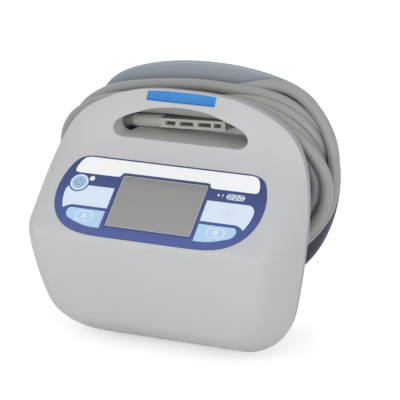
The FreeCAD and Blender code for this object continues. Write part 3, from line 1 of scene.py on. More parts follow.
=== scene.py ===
"""Looks of a compression therapy pump: finishes, keypad prints, wound hoses, light and camera.

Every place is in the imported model's own frame: X to the right, Y to the back, Z up. Sizes are written in
millimetres and turned into metres where a mesh or a curve is made.
"""

import json
import logging
import math
from dataclasses import dataclass, field
from enum import Enum

import bpy
from mathutils import Matrix, Vector

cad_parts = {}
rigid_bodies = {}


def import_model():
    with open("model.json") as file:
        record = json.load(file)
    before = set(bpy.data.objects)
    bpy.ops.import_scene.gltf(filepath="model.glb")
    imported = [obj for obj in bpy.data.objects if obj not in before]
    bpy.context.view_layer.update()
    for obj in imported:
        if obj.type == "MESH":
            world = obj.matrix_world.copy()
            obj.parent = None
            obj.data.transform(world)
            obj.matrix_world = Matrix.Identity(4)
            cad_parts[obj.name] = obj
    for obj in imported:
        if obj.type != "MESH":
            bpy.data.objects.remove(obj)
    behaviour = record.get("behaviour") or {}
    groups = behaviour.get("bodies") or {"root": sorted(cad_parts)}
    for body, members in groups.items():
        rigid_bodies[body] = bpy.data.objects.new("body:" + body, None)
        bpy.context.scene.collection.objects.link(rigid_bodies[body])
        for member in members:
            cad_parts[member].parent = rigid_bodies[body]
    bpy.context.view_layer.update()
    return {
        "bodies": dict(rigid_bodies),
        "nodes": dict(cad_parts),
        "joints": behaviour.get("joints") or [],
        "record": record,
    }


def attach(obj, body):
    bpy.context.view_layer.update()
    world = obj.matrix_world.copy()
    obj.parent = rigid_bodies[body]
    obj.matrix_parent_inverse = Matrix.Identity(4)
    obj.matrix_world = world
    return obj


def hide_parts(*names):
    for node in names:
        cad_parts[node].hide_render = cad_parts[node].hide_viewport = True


MM = 0.001
LOG = logging.getLogger("pump")

Colour = tuple[int, int, int]
Shade = tuple[float, float, float, float]
Point2 = tuple[float, float]
Point3 = tuple[float, float, float]

WHITE: Shade = (1.0, 1.0, 1.0, 1.0)
COAT_ROUGHNESS = 0.12
# Vertices closer than this are one, on a finished mesh and on a round corner.
WELD = 0.002 * MM
CORNER_WELD = 0.01 * MM
# Corner arcs stop a little short of each other, so that a full radius leaves an edge between them.
CORNER_SHARE = 0.999
CORNER_STEPS = 10
# A capital's height as a share of the type size, and how much bolder the letters are than the plain type.
CAPITAL_SHARE = 0.69
LETTER_BOLD = 0.12


class Body(Enum):
    """The moving bodies that pieces ride on."""

    CONSOLE = "console"
    HOOK = "hook"
    KEY_A = "key_a"
    KEY_B = "key_b"
    KEY_POWER = "key_power"


class Side(Enum):
    """A keypad half, by the sign of its place across the face."""

    LEFT = -1
    RIGHT = 1


# ---------------------------------------------------------------- finishes


def linear(colour: Colour) -> Shade:
    """Turn a display colour into the scene's linear colour.

    Args:
        colour: red, green and blue from 0 to 255.

    Returns:
        Linear red, green, blue and a full alpha.
    """
    parts = [value / 255 for value in colour]
    made = [value / 12.92 if value <= 0.04045 else ((value + 0.055) / 1.055) ** 2.4 for value in parts]
    return (made[0], made[1], made[2], 1.0)


class Effects:
    """Node groups that several finishes share, each built once."""

    def __init__(self) -> None:
        """Build the groups."""
        self.grain = self._grain()
        self.handling = self._handling()
        self.brushing = self._brushing()

    def _start(self, name: str, inputs: dict[str, float], outputs: tuple[str, ...]) -> bpy.types.NodeTree:
        """Start a group that works on object coordinates.

        Args:
            name: the group's name.
            inputs: its number inputs and their defaults.
            outputs: its number outputs.

        Returns:
            The group, with its input and output nodes in place.
        """
        group = bpy.data.node_groups.new(name, "ShaderNodeTree")
        group.interface.new_socket("Vector", in_out="INPUT", socket_type="NodeSocketVector")
        for label, value in inputs.items():
            socket = group.interface.new_socket(label, in_out="INPUT", socket_type="NodeSocketFloat")
            socket.default_value = value
        for label in outputs:
            group.interface.new_socket(label, in_out="OUTPUT", socket_type="NodeSocketFloat")
        group.nodes.new("NodeGroupInput").name = "in"
        group.nodes.new("NodeGroupOutput").name = "out"
        return group

    def _noise(self, group: bpy.types.NodeTree, vector: bpy.types.NodeSocket, detail: float) -> bpy.types.Node:
        """Add a noise texture that reads the vector.

        Args:
            group: the group it goes into.
            vector: where it is evaluated.
            detail: octaves of the noise.

        Returns:
            The noise node.
        """
        noise = group.nodes.new("ShaderNodeTexNoise")
        noise.inputs["Detail"].default_value = detail
        group.links.new(vector, noise.inputs["Vector"])
        return noise

    def _grain(self) -> bpy.types.NodeTree:
        """Build the grain of a moulded face: pebbles for the height, a slow drift for the tint.

        Returns:
            The group with the outputs Height and Tint.
        """
        group = self._start("moulded_grain", {"Scale": 900.0, "Drift": 14.0}, ("Height", "Tint"))
        source, sink = group.nodes["in"], group.nodes["out"]
        pebbles = self._noise(group, source.outputs["Vector"], 2.0)
        group.links.new(source.outputs["Scale"], pebbles.inputs["Scale"])
        drift = self._noise(group, source.outputs["Vector"], 3.0)
        group.links.new(source.outputs["Drift"], drift.inputs["Scale"])
        group.links.new(pebbles.outputs["Fac"], sink.inputs["Height"])
        group.links.new(drift.outputs["Fac"], sink.inputs["Tint"])
        return group

    def _handling(self) -> bpy.types.NodeTree:
        """Build the wear of hands and cloths: patches where the face has become smoother.

        Returns:
            The group with the output Polish.
        """
        group = self._start("handling", {"Scale": 30.0, "Low": 0.45, "High": 0.62}, ("Polish",))
        source, sink = group.nodes["in"], group.nodes["out"]
        patches = self._noise(group, source.outputs["Vector"], 4.0)
        group.links.new(source.outputs["Scale"], patches.inputs["Scale"])
        spread = group.nodes.new("ShaderNodeMapRange")
        group.links.new(patches.outputs["Fac"], spread.inputs["Value"])
        group.links.new(source.outputs["Low"], spread.inputs["From Min"])
        group.links.new(source.outputs["High"], spread.inputs["From Max"])
        group.links.new(spread.outputs["Result"], sink.inputs["Polish"])
        return group

    def _brushing(self) -> bpy.types.NodeTree:
        """Build the fine parallel lines of drawn or brushed metal.

        Returns:
            The group with the outputs Height and Tint.
        """
        group = self._start("brushing", {"Scale": 120.0}, ("Height", "Tint"))
        source, sink = group.nodes["in"], group.nodes["out"]
        stretch = group.nodes.new("ShaderNodeMapping")
        stretch.inputs["Scale"].default_value = (1.0, 14.0, 14.0)
        group.links.new(source.outputs["Vector"], stretch.inputs["Vector"])
        lines = self._noise(group, stretch.outputs["Vector"], 3.0)
        group.links.new(source.outputs["Scale"], lines.inputs["Scale"])
        group.links.new(lines.outputs["Fac"], sink.inputs["Height"])
        group.links.new(lines.outputs["Fac"], sink.inputs["Tint"])
        return group


@dataclass(frozen=True)
class Finish:
    """A finish of one surface: a colour that drifts a little, a grain, and patches polished by handling.

    Attributes:
        name: the material's name.
        colour: the middle of the colours that it drifts through.
        roughness: of places that aren't handled.
        polish: how much smoother handled places are.
        mottle: share by which the colour drifts both ways.
        grain_scale: how fine the grain is.
        grain_depth: depth of the grain in millimetres.
        specular: how strongly it mirrors.
        metallic: 1 for bare metal.
        coat: weight of a clear coat.
        metal_lines: whether the grain is brushed lines.
    """

    name: str
    colour: Colour
    roughness: float = 0.5
    polish: float = 0.08
    mottle: float = 0.05
    grain_scale: float = 900.0
    grain_depth: float = 0.02
    specular: float = 0.4
    metallic: float = 0.0
    coat: float = 0.0
    metal_lines: bool = False

    def build(self, effects: Effects) -> bpy.types.Material:
        """Make the material.

        Args:
            effects: the shared node groups.

        Returns:
            The material.
        """
        made = bpy.data.materials.new(self.name)
        made.use_nodes = True
        tree = made.node_tree
        shader = tree.nodes["Principled BSDF"]
        shader.inputs["Specular IOR Level"].default_value = self.specular
        shader.inputs["Metallic"].default_value = self.metallic
        shader.inputs["Coat Weight"].default_value = self.coat
        shader.inputs["Coat Roughness"].default_value = COAT_ROUGHNESS
        places = tree.nodes.new("ShaderNodeTexCoord")
        grain = tree.nodes.new("ShaderNodeGroup")
        grain.node_tree = effects.brushing if self.metal_lines else effects.grain
        grain.inputs["Scale"].default_value = self.grain_scale
        tree.links.new(places.outputs["Object"], grain.inputs["Vector"])
        wear = tree.nodes.new("ShaderNodeGroup")
        wear.node_tree = effects.handling
        tree.links.new(places.outputs["Object"], wear.inputs["Vector"])
        self._roughness(tree, shader, wear.outputs["Polish"])
        bump = tree.nodes.new("ShaderNodeBump")
        bump.inputs["Distance"].default_value = self.grain_depth * MM
        tree.links.new(grain.outputs["Height"], bump.inputs["Height"])
        tree.links.new(bump.outputs["Normal"], shader.inputs["Normal"])
        mix = tree.nodes.new("ShaderNodeMix")
        mix.data_type = "RGBA"
        tree.links.new(grain.outputs["Tint"], mix.inputs["Factor"])
        self._tint(tree, mix, places.outputs["Object"])
        tree.links.new(mix.outputs["Result"], shader.inputs["Base Color"])
        return made

    def _roughness(self, tree: bpy.types.NodeTree, shader: bpy.types.Node, polish: bpy.types.NodeSocket) -> None:
        """Let handled patches shine a little more.

        Args:
            tree: the material's nodes.
            shader: the surface shader.
            polish: how much a place has been handled.
        """
        spread = tree.nodes.new("ShaderNodeMapRange")
        spread.inputs["To Min"].default_value = self.roughness
        spread.inputs["To Max"].default_value = self.roughness - self.polish
        tree.links.new(polish, spread.inputs["Value"])
        tree.links.new(spread.outputs["Result"], shader.inputs["Roughness"])

    def _shade(self, colour: Colour, share: float) -> Shade:
        """Make a colour lighter or darker by a share of itself.

        Args:
            colour: the colour.
            share: how much lighter, or darker where it is negative.

        Returns:
            The linear colour.
        """
        base = linear(colour)
        return tuple(value * (1 + share) for value in base[:3]) + (1.0,)

    def _tint(self, tree: bpy.types.NodeTree, mix: bpy.types.Node, vector: bpy.types.NodeSocket) -> None:
        """Set the two shades between which the colour drifts.

        Args:
            tree: the material's nodes.
            mix: the node that mixes the shades.
            vector: object coordinates, for finishes that grade along the piece.
        """
        mix.inputs["A"].default_value = self._shade(self.colour, -self.mottle)
        mix.inputs["B"].default_value = self._shade(self.colour, self.mottle)


@dataclass(frozen=True)
class GradedFinish(Finish):
    """A finish whose colour grades along an axis of the frame, through a few stops.

    Attributes:
        axis: the axis.
        start: place of the first stop in millimetres.
        end: place of the last stop.
        stops: shares of the way between them, with their colours.
    """

    axis: str = "Z"
    start: float = 0.0
    end: float = 1.0
    stops: tuple[tuple[float, Colour], ...] = ()

    def _tint(self, tree: bpy.types.NodeTree, mix: bpy.types.Node, vector: bpy.types.NodeSocket) -> None:
        """Grade both shades along the axis, and let them drift.

        Args:
            tree: the material's nodes.
            mix: the node that mixes the shades.
            vector: object coordinates.
        """
        split = tree.nodes.new("ShaderNodeSeparateXYZ")
        tree.links.new(vector, split.inputs["Vector"])
        spread = tree.nodes.new("ShaderNodeMapRange")
        spread.inputs["From Min"].default_value = self.start * MM
        spread.inputs["From Max"].default_value = self.end * MM
        tree.links.new(split.outputs[self.axis], spread.inputs["Value"])
        for socket, share in (("A", -self.mottle), ("B", self.mottle)):
            ramp = tree.nodes.new("ShaderNodeValToRGB")
            bar = ramp.color_ramp
            for place, _ in self.stops[:-2]:
                bar.elements.new(place)
            for element, (place, colour) in zip(bar.elements, self.stops):
                element.position = place
                element.color = self._shade(colour, share)
            tree.links.new(spread.outputs["Result"], ramp.inputs["Fac"])
            tree.links.new(ramp.outputs["Color"], mix.inputs[socket])


COVER_GREY: Colour = (196, 197, 199)
NAVY: Colour = (62, 76, 122)
PALE_PRINT: Colour = (232, 240, 248)

FINISHES: dict[str, Finish] = {finish.name: finish for finish in (
    Finish("grey_shell", COVER_GREY, 0.52, 0.07, 0.025, 1100.0, 0.035),
    Finish("case_grey", (168, 171, 177), 0.55, 0.06, 0.03, 1100.0, 0.035),
    Finish("pale_liner", (212, 214, 212), 0.55, 0.05, 0.03, 1100.0, 0.03),
    # Painted shade on the label: it darkens towards its lower edge, most in the lowest strip.
    GradedFinish(
        "blue_label", (52, 128, 202), 0.32, 0.06, 0.03, 700.0, 0.006, start=155.5, end=163.0,
        stops=((0.0, (30, 100, 172)), (0.12, (34, 106, 180)), (0.22, (50, 128, 202)), (1.0, (70, 142, 212))),
    ),
    Finish("dark_rubber", (52, 52, 54), 0.8, 0.1, 0.1, 1400.0, 0.05, 0.3),
    GradedFinish(
        "blue_film", (80, 93, 140), 0.4, 0.08, 0.03, 1600.0, 0.008, start=81.0, end=120.0,
        stops=((0.0, (80, 95, 158)), (0.3, (70, 87, 149)), (0.7, (56, 72, 127)), (1.0, (48, 62, 112))),
    ),
    Finish("pale_lens", (219, 234, 250), 0.28, 0.06, 0.02, 1600.0, 0.004),
    Finish("dark_print", NAVY, 0.45, 0.05, 0.04, 1600.0, 0.006),
    Finish("key_blue", (182, 213, 245), 0.42, 0.12, 0.03, 1600.0, 0.012),
    GradedFinish(
        "display_glass", (140, 140, 140), 0.22, 0.05, 0.015, 1600.0, 0.002, start=86.9, end=111.7,
        stops=((0.0, (154, 154, 154)), (0.85, (147, 147, 146)), (0.93, (138, 138, 139)), (1.0, (134, 134, 136))),
    ),
    Finish("display_grey", (120, 122, 120), 0.5, 0.05, 0.03, 900.0, 0.01),
    Finish("board", (38, 92, 60), 0.35, 0.1, 0.12, 500.0, 0.02),
    Finish("black_plastic", (40, 40, 42), 0.5, 0.1, 0.08, 1000.0, 0.03),
    Finish("lamp_white", (236, 240, 244), 0.25, 0.05, 0.02, 900.0, 0.002),
    Finish("steel", (176, 178, 180), 0.34, 0.1, 0.12, 120.0, 0.01, metallic=1.0, metal_lines=True),
    Finish("foam", (92, 92, 94), 0.95, 0.02, 0.3, 1500.0, 0.4, 0.2),
    Finish("natural_plastic", (214, 213, 205), 0.45, 0.1, 0.03, 900.0, 0.02),
    Finish("silicone", (216, 218, 216), 0.3, 0.1, 0.03, 500.0, 0.01),
    Finish("yellow_tape", (214, 186, 74), 0.4, 0.1, 0.06, 300.0, 0.03),
    Finish("ribbon", (188, 188, 186), 0.45, 0.1, 0.05, 500.0, 0.02),
    Finish("battery_wrap", (48, 74, 138), 0.25, 0.08, 0.05, 400.0, 0.01, coat=0.3),
    # Painted shade and light on the hook plate: darker towards the bottom, where the hoses shade it, and lighter
    # towards the lit top.
    GradedFinish(
        "slate", (124, 134, 146), 0.5, 0.08, 0.04, 1000.0, 0.04, start=20.0, end=173.0,
        stops=((0.0, (84, 88, 97)), (0.45, (96, 103, 112)), (0.8, (144, 153, 164)), (1.0, (160, 168, 177))),
    ),
    Finish("hose", (158, 159, 157), 0.36, 0.06, 0.04, 420.0, 0.006, coat=0.05),
    Finish("connector_grey", (196, 196, 188), 0.45, 0.08, 0.04, 900.0, 0.02),
    Finish("white_print", (247, 249, 251), 0.36, 0.05, 0.015, 1600.0, 0.004),
    Finish("pale_print", PALE_PRINT, 0.4, 0.05, 0.01, 1600.0, 0.004),
    Finish("power_blue", (163, 190, 222), 0.42, 0.08, 0.03, 1600.0, 0.006),
    Finish("power_mark", (120, 150, 196), 0.42, 0.05, 0.03, 1600.0, 0.004),
    Finish("faint_mark", (222, 222, 236), 0.35, 0.05, 0.02, 1600.0, 0.004),
    # Painted shade: the colour of the dark sheets on the floors of the connectors' slots.
    Finish("painted_slot_shade", (88, 84, 76), 0.7, 0.05, 0.08, 900.0, 0.02, 0.3),
    Finish("bezel_edge", (186, 190, 198), 0.35, 0.05, 0.03, 1600.0, 0.004),
)}


class Paint:
    """The finishes as materials, made when first asked for."""

    def __init__(self) -> None:
        """Start with the shared effects and no material."""
        self._effects = Effects()
        self._made: dict[str, bpy.types.Material] = {}

    def material(self, name: str) -> bpy.types.Material:
        """Find the material of a finish, or make it.

        Args:
            name: the finish.

        Returns:
            The material.
        """
        if name not in self._made:
            self._made[name] = FINISHES[name].build(self._effects)
        return self._made[name]

    def dress(self, piece: bpy.types.Object, name: str) -> None:
        """Give a piece one finish all over.

        Args:
            piece: the piece.
            name: the finish.
        """
        finish = self.material(name)
        if not piece.material_slots:
            piece.data.materials.append(finish)
        for slot in piece.material_slots:
            slot.material = finish


# ---------------------------------------------------------------- modelling


class Bench:
    """Modelling steps in the way they are done by hand."""

    def clear(self) -> None:
        """Leave nothing selected or active."""
        bpy.ops.object.select_all(action="DESELECT")
        bpy.context.view_layer.objects.active = None

    def take(self, piece: bpy.types.Object) -> None:
        """Select one piece alone and make it active.

        Args:
            piece: the piece.
        """
        self.clear()
        piece.select_set(True)
        bpy.context.view_layer.objects.active = piece

    def edit(self, piece: bpy.types.Object, mode: str) -> None:
        """Open a piece in edit mode with vertices, edges or faces chosen from.

        Args:
            piece: the piece.
            mode: VERT, EDGE or FACE.
        """
        self.take(piece)
        bpy.ops.object.mode_set(mode="EDIT")
        bpy.ops.mesh.select_mode(type=mode)
        bpy.ops.mesh.select_all(action="SELECT")

    def close(self) -> None:
        """Turn all faces outwards and leave edit mode."""
        bpy.ops.mesh.select_all(action="SELECT")
        bpy.ops.mesh.remove_doubles(threshold=WELD)
        bpy.ops.mesh.normals_make_consistent(inside=False)
        bpy.ops.object.mode_set(mode="OBJECT")

    def plate(self, name: str, middle: Point2, size: Point2, radius: float, thick: float) -> bpy.types.Object:
        """A flat plate with round corners, lying on the XY plane.

        Args:
            name: the piece's name.
            middle: the place of its middle.
            size: its width and height.
            radius: its corner radius.
            thick: its thickness.

        Returns:
            The plate.
        """
        plate = self._sheet(name, middle, size, radius)
        bpy.ops.mesh.select_all(action="SELECT")
        bpy.ops.mesh.extrude_region_move(TRANSFORM_OT_translate={"value": (0, 0, thick * MM)})
        self.close()
        return plate

    def ring(
        self, name: str, middle: Point2, size: Point2, radius: float, line: float, thick: float
    ) -> bpy.types.Object:
        """A flat band round a rounded shape, lying on the XY plane.

        Args:
            name: the piece's name.
            middle: the place of its middle.
            size: its outer width and height.
            radius: its outer corner radius.
            line: the band's width.
            thick: its thickness.

        Returns:
            The ring.
        """
        ring = self._sheet(name, middle, size, radius)
        bpy.ops.mesh.select_mode(type="FACE")
        bpy.ops.mesh.select_all(action="SELECT")
        bpy.ops.mesh.inset(thickness=line * MM, depth=0)
        bpy.ops.mesh.delete(type="FACE")
        bpy.ops.mesh.select_all(action="SELECT")
        bpy.ops.mesh.extrude_region_move(TRANSFORM_OT_translate={"value": (0, 0, thick * MM)})
        self.close()
        return ring

    def _sheet(self, name: str, middle: Point2, size: Point2, radius: float) -> bpy.types.Object:
        """Start a face with round corners and leave it in edit mode.

        Args:
            name: the piece's name.
            middle: the place of its middle.
            size: its width and height.
            radius: its corner radius.

        Returns:
            The object, in edit mode.
        """
        self.clear()
        bpy.ops.mesh.primitive_plane_add(size=1, location=(middle[0] * MM, middle[1] * MM, 0))
        piece = bpy.context.active_object
        piece.name = piece.data.name = name
        piece.scale = (size[0] * MM, size[1] * MM, 1)
        bpy.ops.object.transform_apply(location=True, rotation=True, scale=True)
        self.edit(piece, "VERT")
        bpy.ops.mesh.bevel(offset=radius * MM * CORNER_SHARE, segments=CORNER_STEPS, affect="VERTICES")
        bpy.ops.mesh.select_all(action="SELECT")
        bpy.ops.mesh.remove_doubles(threshold=CORNER_WELD)
        return piece

    def outline(self, name: str, loops: list[list[Point2]], thick: float, smooth: bool) -> bpy.types.Object:
        """A flat print with free outlines, made from a flat curve.

        Args:
            name: the piece's name.
            loops: closed outlines, with holes after the outer one.
            thick: its thickness.
            smooth: whether the outlines run smoothly through their points.

        Returns:
            The print, from the XY plane upwards.
        """
        drawn = bpy.data.curves.new(name, "CURVE")
        drawn.dimensions = "2D"
        drawn.fill_mode = "BOTH"
        drawn.extrude = thick * MM / 2
        drawn.resolution_u = 6
        for loop in loops:
            spline = drawn.splines.new("BEZIER" if smooth else "POLY")
            knots = spline.bezier_points if smooth else spline.points
            knots.add(len(loop) - 1)
            for knot, (x, y) in zip(knots, loop):
                knot.co = (x * MM, y * MM, 0) if smooth else (x * MM, y * MM, 0, 1)
                if smooth:
                    knot.handle_left_type = knot.handle_right_type = "AUTO"
            spline.use_cyclic_u = True
        return self._as_mesh(bpy.data.objects.new(name, drawn), thick)

    def letter(self, name: str, text: str, middle: Point2, high: float, thick: float) -> bpy.types.Object:
        """A plain letter, middle on the given place.

        Args:
            name: the piece's name.
            text: the letter.
            middle: where its middle goes.
            high: the height of a capital.
            thick: its thickness.

        Returns:
            The letter, from the XY plane upwards.
        """
        drawn = bpy.data.curves.new(name, "FONT")
        drawn.body = text
        drawn.align_x, drawn.align_y = "CENTER", "CENTER"
        drawn.size = high * MM / CAPITAL_SHARE
        drawn.offset = LETTER_BOLD * MM
        drawn.extrude = thick * MM / 2
        drawn.resolution_u = 4
        piece = self._as_mesh(bpy.data.objects.new(name, drawn), thick)
        piece.data.transform(Matrix.Translation((middle[0] * MM, middle[1] * MM, 0)))
        return piece

    def _as_mesh(self, piece: bpy.types.Object, thick: float) -> bpy.types.Object:
        """Turn a flat curve or letter into a closed mesh that stands on the XY plane.

        Args:
            piece: the curve or text object.
            thick: its thickness.

        Returns:
            The same object as a mesh.
        """
        bpy.context.scene.collection.objects.link(piece)
        self.take(piece)
        bpy.ops.object.convert(target="MESH")
        piece = bpy.context.active_object
        self.edit(piece, "VERT")
        self.close()
        piece.data.transform(Matrix.Translation((0, 0, thick * MM / 2)))
        return piece

    def join(self, name: str, pieces: list[bpy.types.Object]) -> bpy.types.Object:
        """Make several meshes one.

        Args:
            name: the piece's name.
            pieces: the meshes.

        Returns:
            The one piece.
        """
        self.take(pieces[0])
        for piece in pieces:
            piece.select_set(True)
        bpy.ops.object.join()
        joined = bpy.context.active_object
        joined.name = joined.data.name = name
        return joined


def settle(piece: bpy.types.Object, body: Body) -> bpy.types.Object:
    """Let a finished piece ride on its body, and report it.

    Args:
        piece: the piece.
        body: what it moves with.

    Returns:
        The piece.
    """
    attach(piece, body.value)
    LOG.info("piece %s rides on %s", piece.name, body.value)
    return piece


# ---------------------------------------------------------------- keypad prints


@dataclass
class KeypadFace:
    """The sloping face: its place, its films' heights and everything that is printed on it.

    Places on the face are across from its middle and up from the display's lower edge, in millimetres.
    """

    bench: Bench
    paint: Paint
    lean: float = 50.6
    origin: Point3 = (0.0, -48.5, 86.9)
    film_top: float = 0.3
    key_top: float = 0.5
    ink: float = 0.07
    sunk: float = 0.03
    display: Point2 = (58.8, 39.0)
    display_corner: float = 1.2
    bezel_line: float = 1.1
    bezel_gap: float = 0.2
    edge_inset: float = 0.3
    edge_line: float = 0.45
    band: tuple[Point2, ...] = (
        (56.0, 49.9), (59.5, 48.9), (61.5, 46.2), (62.8, 42.6), (63.3, 39.6), (62.9, 37.9), (61.3, 37.1),
    )
    band_foot: tuple[Point2, ...] = ((33.2, 37.1), (31.4, 37.6), (30.8, 38.7), (30.2, 40.2), (28.6, 40.7))
    pill: Point2 = (12.4, 7.5)
    pill_place: Point2 = (45.0, 4.9)
    pill_line: float = 0.65
    letter_high: float = 3.9
    power_place: Point2 = (-57.4, 29.5)
    power_radius: float = 6.2
    power_line: float = 0.9
    disc_inset: float = 2.2
    sign_gap: float = 40.0
    sign_steps: int = 20
    sign_radius: float = 2.2
    sign_line: float = 0.28
    sign_ink: float = 1.6
    gauge_place: Point2 = (49.7, 32.6)
    cell: Point2 = (2.3, 3.1)
    cell_pitch: float = 3.6
    cell_corner: float = 0.55
    cell_line: float = 0.48
    cell_lean: float = 0.14
    charge_places: tuple[Point2, ...] = ((38.1, 32.8), (41.0, 32.8))
    window_sign_place: Point2 = (48.4, 20.0)
    matrix: Matrix = field(init=False)

    def __post_init__(self) -> None:
        """Work out where the face lies."""
        lean = math.radians(self.lean)
        up = Vector((0, math.sin(lean), math.cos(lean)))
        out = Vector((0, -math.cos(lean), math.sin(lean)))
        turn = Matrix((Vector((1, 0, 0)), up, out)).transposed().to_4x4()
        self.matrix = Matrix.Translation(Vector(self.origin) * MM) @ turn

    def lay(self, piece: bpy.types.Object, height: float, finish: str, body: Body) -> bpy.types.Object:
        """Put a flat print on the face.

        Args:
            piece: the print, drawn on the XY plane.
            height: height of the film or key that it is printed on.
            finish: its finish.
            body: what it moves with.

        Returns:
            The print in its place.
        """
        piece.data.transform(Matrix.Translation((0, 0, (height - self.sunk) * MM)))
        piece.data.transform(self.matrix)
        self.paint.dress(piece, finish)
        return settle(piece, body)

    def build(self) -> None:
        """Make all prints."""
        self._title_band()
        self._display_frame()
        for side, body, text in ((Side.LEFT, Body.KEY_A, "A"), (Side.RIGHT, Body.KEY_B, "B")):
            self._key_mark(side, body, text)
        self._power_mark()
        self._gauge_cells()
        self._charge_marks()
        self._help_mark()

    def _title_band(self) -> None:
        """Print the white band above the display, left bare."""
        right = list(self.band) + list(self.band_foot)
        left = [(-x, y) for x, y in reversed(right)]
        band = self.bench.outline("title_band", [right + left], self.ink, smooth=False)
        self.lay(band, self.film_top, "white_print", Body.CONSOLE)

    def _display_frame(self) -> None:
        """Print the navy frame round the display and the pale line of its cut edge."""
        width, high = self.display
        middle = (0.0, high / 2)
        outer = tuple(length + 2 * self.bezel_line + self.bezel_gap for length in self.display)
        corner = self.display_corner + self.bezel_line
        frame = self.bench.ring("display_frame", middle, outer, corner, self.bezel_line, self.ink)
        self.lay(frame, self.film_top, "dark_print", Body.CONSOLE)
        inner = (width - self.edge_inset, high - self.edge_inset)
        edge = self.bench.ring("display_edge", middle, inner, self.display_corner, self.edge_line, self.ink)
        self.lay(edge, 0.0, "bezel_edge", Body.CONSOLE)

    def _key_mark(self, side: Side, body: Body, text: str) -> None:
        """Print a pill ring with a letter on a key.

        Args:
            side: which key.
            body: the key's body.
            text: its letter.
        """
        place = (side.value * self.pill_place[0], self.pill_place[1])
        name = text.lower()
        pill = self.bench.ring(f"key_ring_{name}", place, self.pill, self.pill[1] / 2, self.pill_line, self.ink)
        self.lay(pill, self.key_top, "pale_print", body)
        letter = self.bench.letter(f"key_letter_{name}", text, place, self.letter_high, self.ink)
        self.lay(letter, self.key_top, "pale_print", body)

    def _power_mark(self) -> None:
        """Print the power key's ring, disc and the usual sign of an open circle with a bar."""
        x, y = self.power_place
        across = 2 * self.power_radius - self.power_line
        ring = self.bench.ring("power_ring", (x, y), (across, across), across / 2, self.power_line, self.ink)
        self.lay(ring, self.key_top, "pale_lens", Body.KEY_POWER)
        inner = across - self.disc_inset
        disc = self.bench.plate("power_disc", (x, y), (inner, inner), inner / 2, self.ink)
        self.lay(disc, self.key_top, "power_blue", Body.KEY_POWER)
        gap, steps, radius, line = self.sign_gap, self.sign_steps, self.sign_radius, self.sign_line
        arc = [math.radians(90 + gap + (360 - 2 * gap) * i / steps) for i in range(steps + 1)]
        outer = [(x + (radius + line) * math.cos(a), y + (radius + line) * math.sin(a)) for a in arc]
        back = [(x + (radius - line) * math.cos(a), y + (radius - line) * math.sin(a)) for a in reversed(arc)]
        thick = self.ink * self.sign_ink
        open_ring = self.bench.outline("power_arc", [outer + back], thick, smooth=False)
        bar = self.bench.plate("power_bar", (x, y + 1.9), (2 * line, 2.6), line * 0.9, thick)
        sign = self.bench.join("power_sign", [open_ring, bar])
        self.lay(sign, self.key_top, "power_mark", Body.KEY_POWER)

    def _gauge_cells(self) -> None:
        """Print the three cells of the battery gauge, leaning a little."""
        x, y = self.gauge_place
        cells = []
        for number in (-1, 0, 1):
            middle = (x + self.cell_pitch * number, y)
            cell = self.bench.ring(
                f"gauge_cell_{number + 2}", middle, self.cell, self.cell_corner, self.cell_line, self.ink
            )
            for vertex in cell.data.vertices:
                vertex.co.x += (vertex.co.y - y * MM) * self.cell_lean
            cells.append(cell)
        joined = self.bench.join("gauge_cells", cells)
        self.lay(joined, self.film_top, "dark_print", Body.CONSOLE)

    def _charge_marks(self) -> None:
        """Print a mains plug and a lightning bolt beside the gauge."""
        (px, py), (bx, by) = self.charge_places
        body = self.bench.plate("plug_sign_body", (px, py), (1.3, 1.2), 0.35, self.ink)
        pins = [
            self.bench.plate(f"plug_sign_{i}", (px + 0.35 * i, py + 0.8), (0.24, 0.7), 0.1, self.ink)
            for i in (-1, 1)
        ]
        lead = self.bench.plate("plug_sign_lead", (px, py - 0.9), (0.26, 0.8), 0.1, self.ink)
        plug = self.bench.join("charge_plug_sign", [body, *pins, lead])
        self.lay(plug, self.film_top, "pale_print", Body.CONSOLE)
        zigzag = ((0.35, 1.5), (-0.75, -0.15), (-0.08, -0.15), (-0.45, -1.5), (0.75, 0.3), (0.08, 0.3))
        loop = [(bx + x, by + y) for x, y in zigzag]
        bolt = self.bench.outline("charge_bolt_sign", [loop], self.ink, smooth=False)
        self.lay(bolt, self.film_top, "pale_print", Body.CONSOLE)

    def _help_mark(self) -> None:
        """Print the faint round sign in the right window."""
        x, y = self.window_sign_place
        ring = self.bench.ring("window_sign_ring", (x, y), (6.6, 6.6), 3.3, 0.5, self.ink)
        foot = self.bench.plate("window_sign_bar", (x, y - 0.5), (4.2, 1.1), 0.5, self.ink)
        head = self.bench.plate("window_sign_dot", (x, y + 1.2), (1.7, 1.7), 0.84, self.ink)
        sign = self.bench.join("window_sign", [ring, foot, head])
        self.lay(sign, self.film_top, "faint_mark", Body.CONSOLE)


# ---------------------------------------------------------------- hoses


@dataclass(frozen=True)
class HoseFacts:
    """What is known of one hose. Places are across, in depth from the keypad's nose, and up, in millimetres.

    Attributes:
        letter: its channel.
        layers: depths of its front and back layers on the left of the waist.
        lead: its places from the port to the winding.
        tail: its places from the winding to the connector.
        last: steps that it still winds after the whole turns.
        phase: where its slack starts to swing.
        right: its places on the right of the waist, for each turn, from the top down.
        tilt: degrees by which the connector rises from level.
        drops: how much lower each turn lies on the left of the top.
    """

    letter: str
    layers: Point2
    lead: tuple[Point3, ...]
    tail: tuple[Point3, ...]
    last: int
    phase: float
    right: tuple[tuple[Point3, ...], ...]
    tilt: float
    drops: tuple[float, ...]


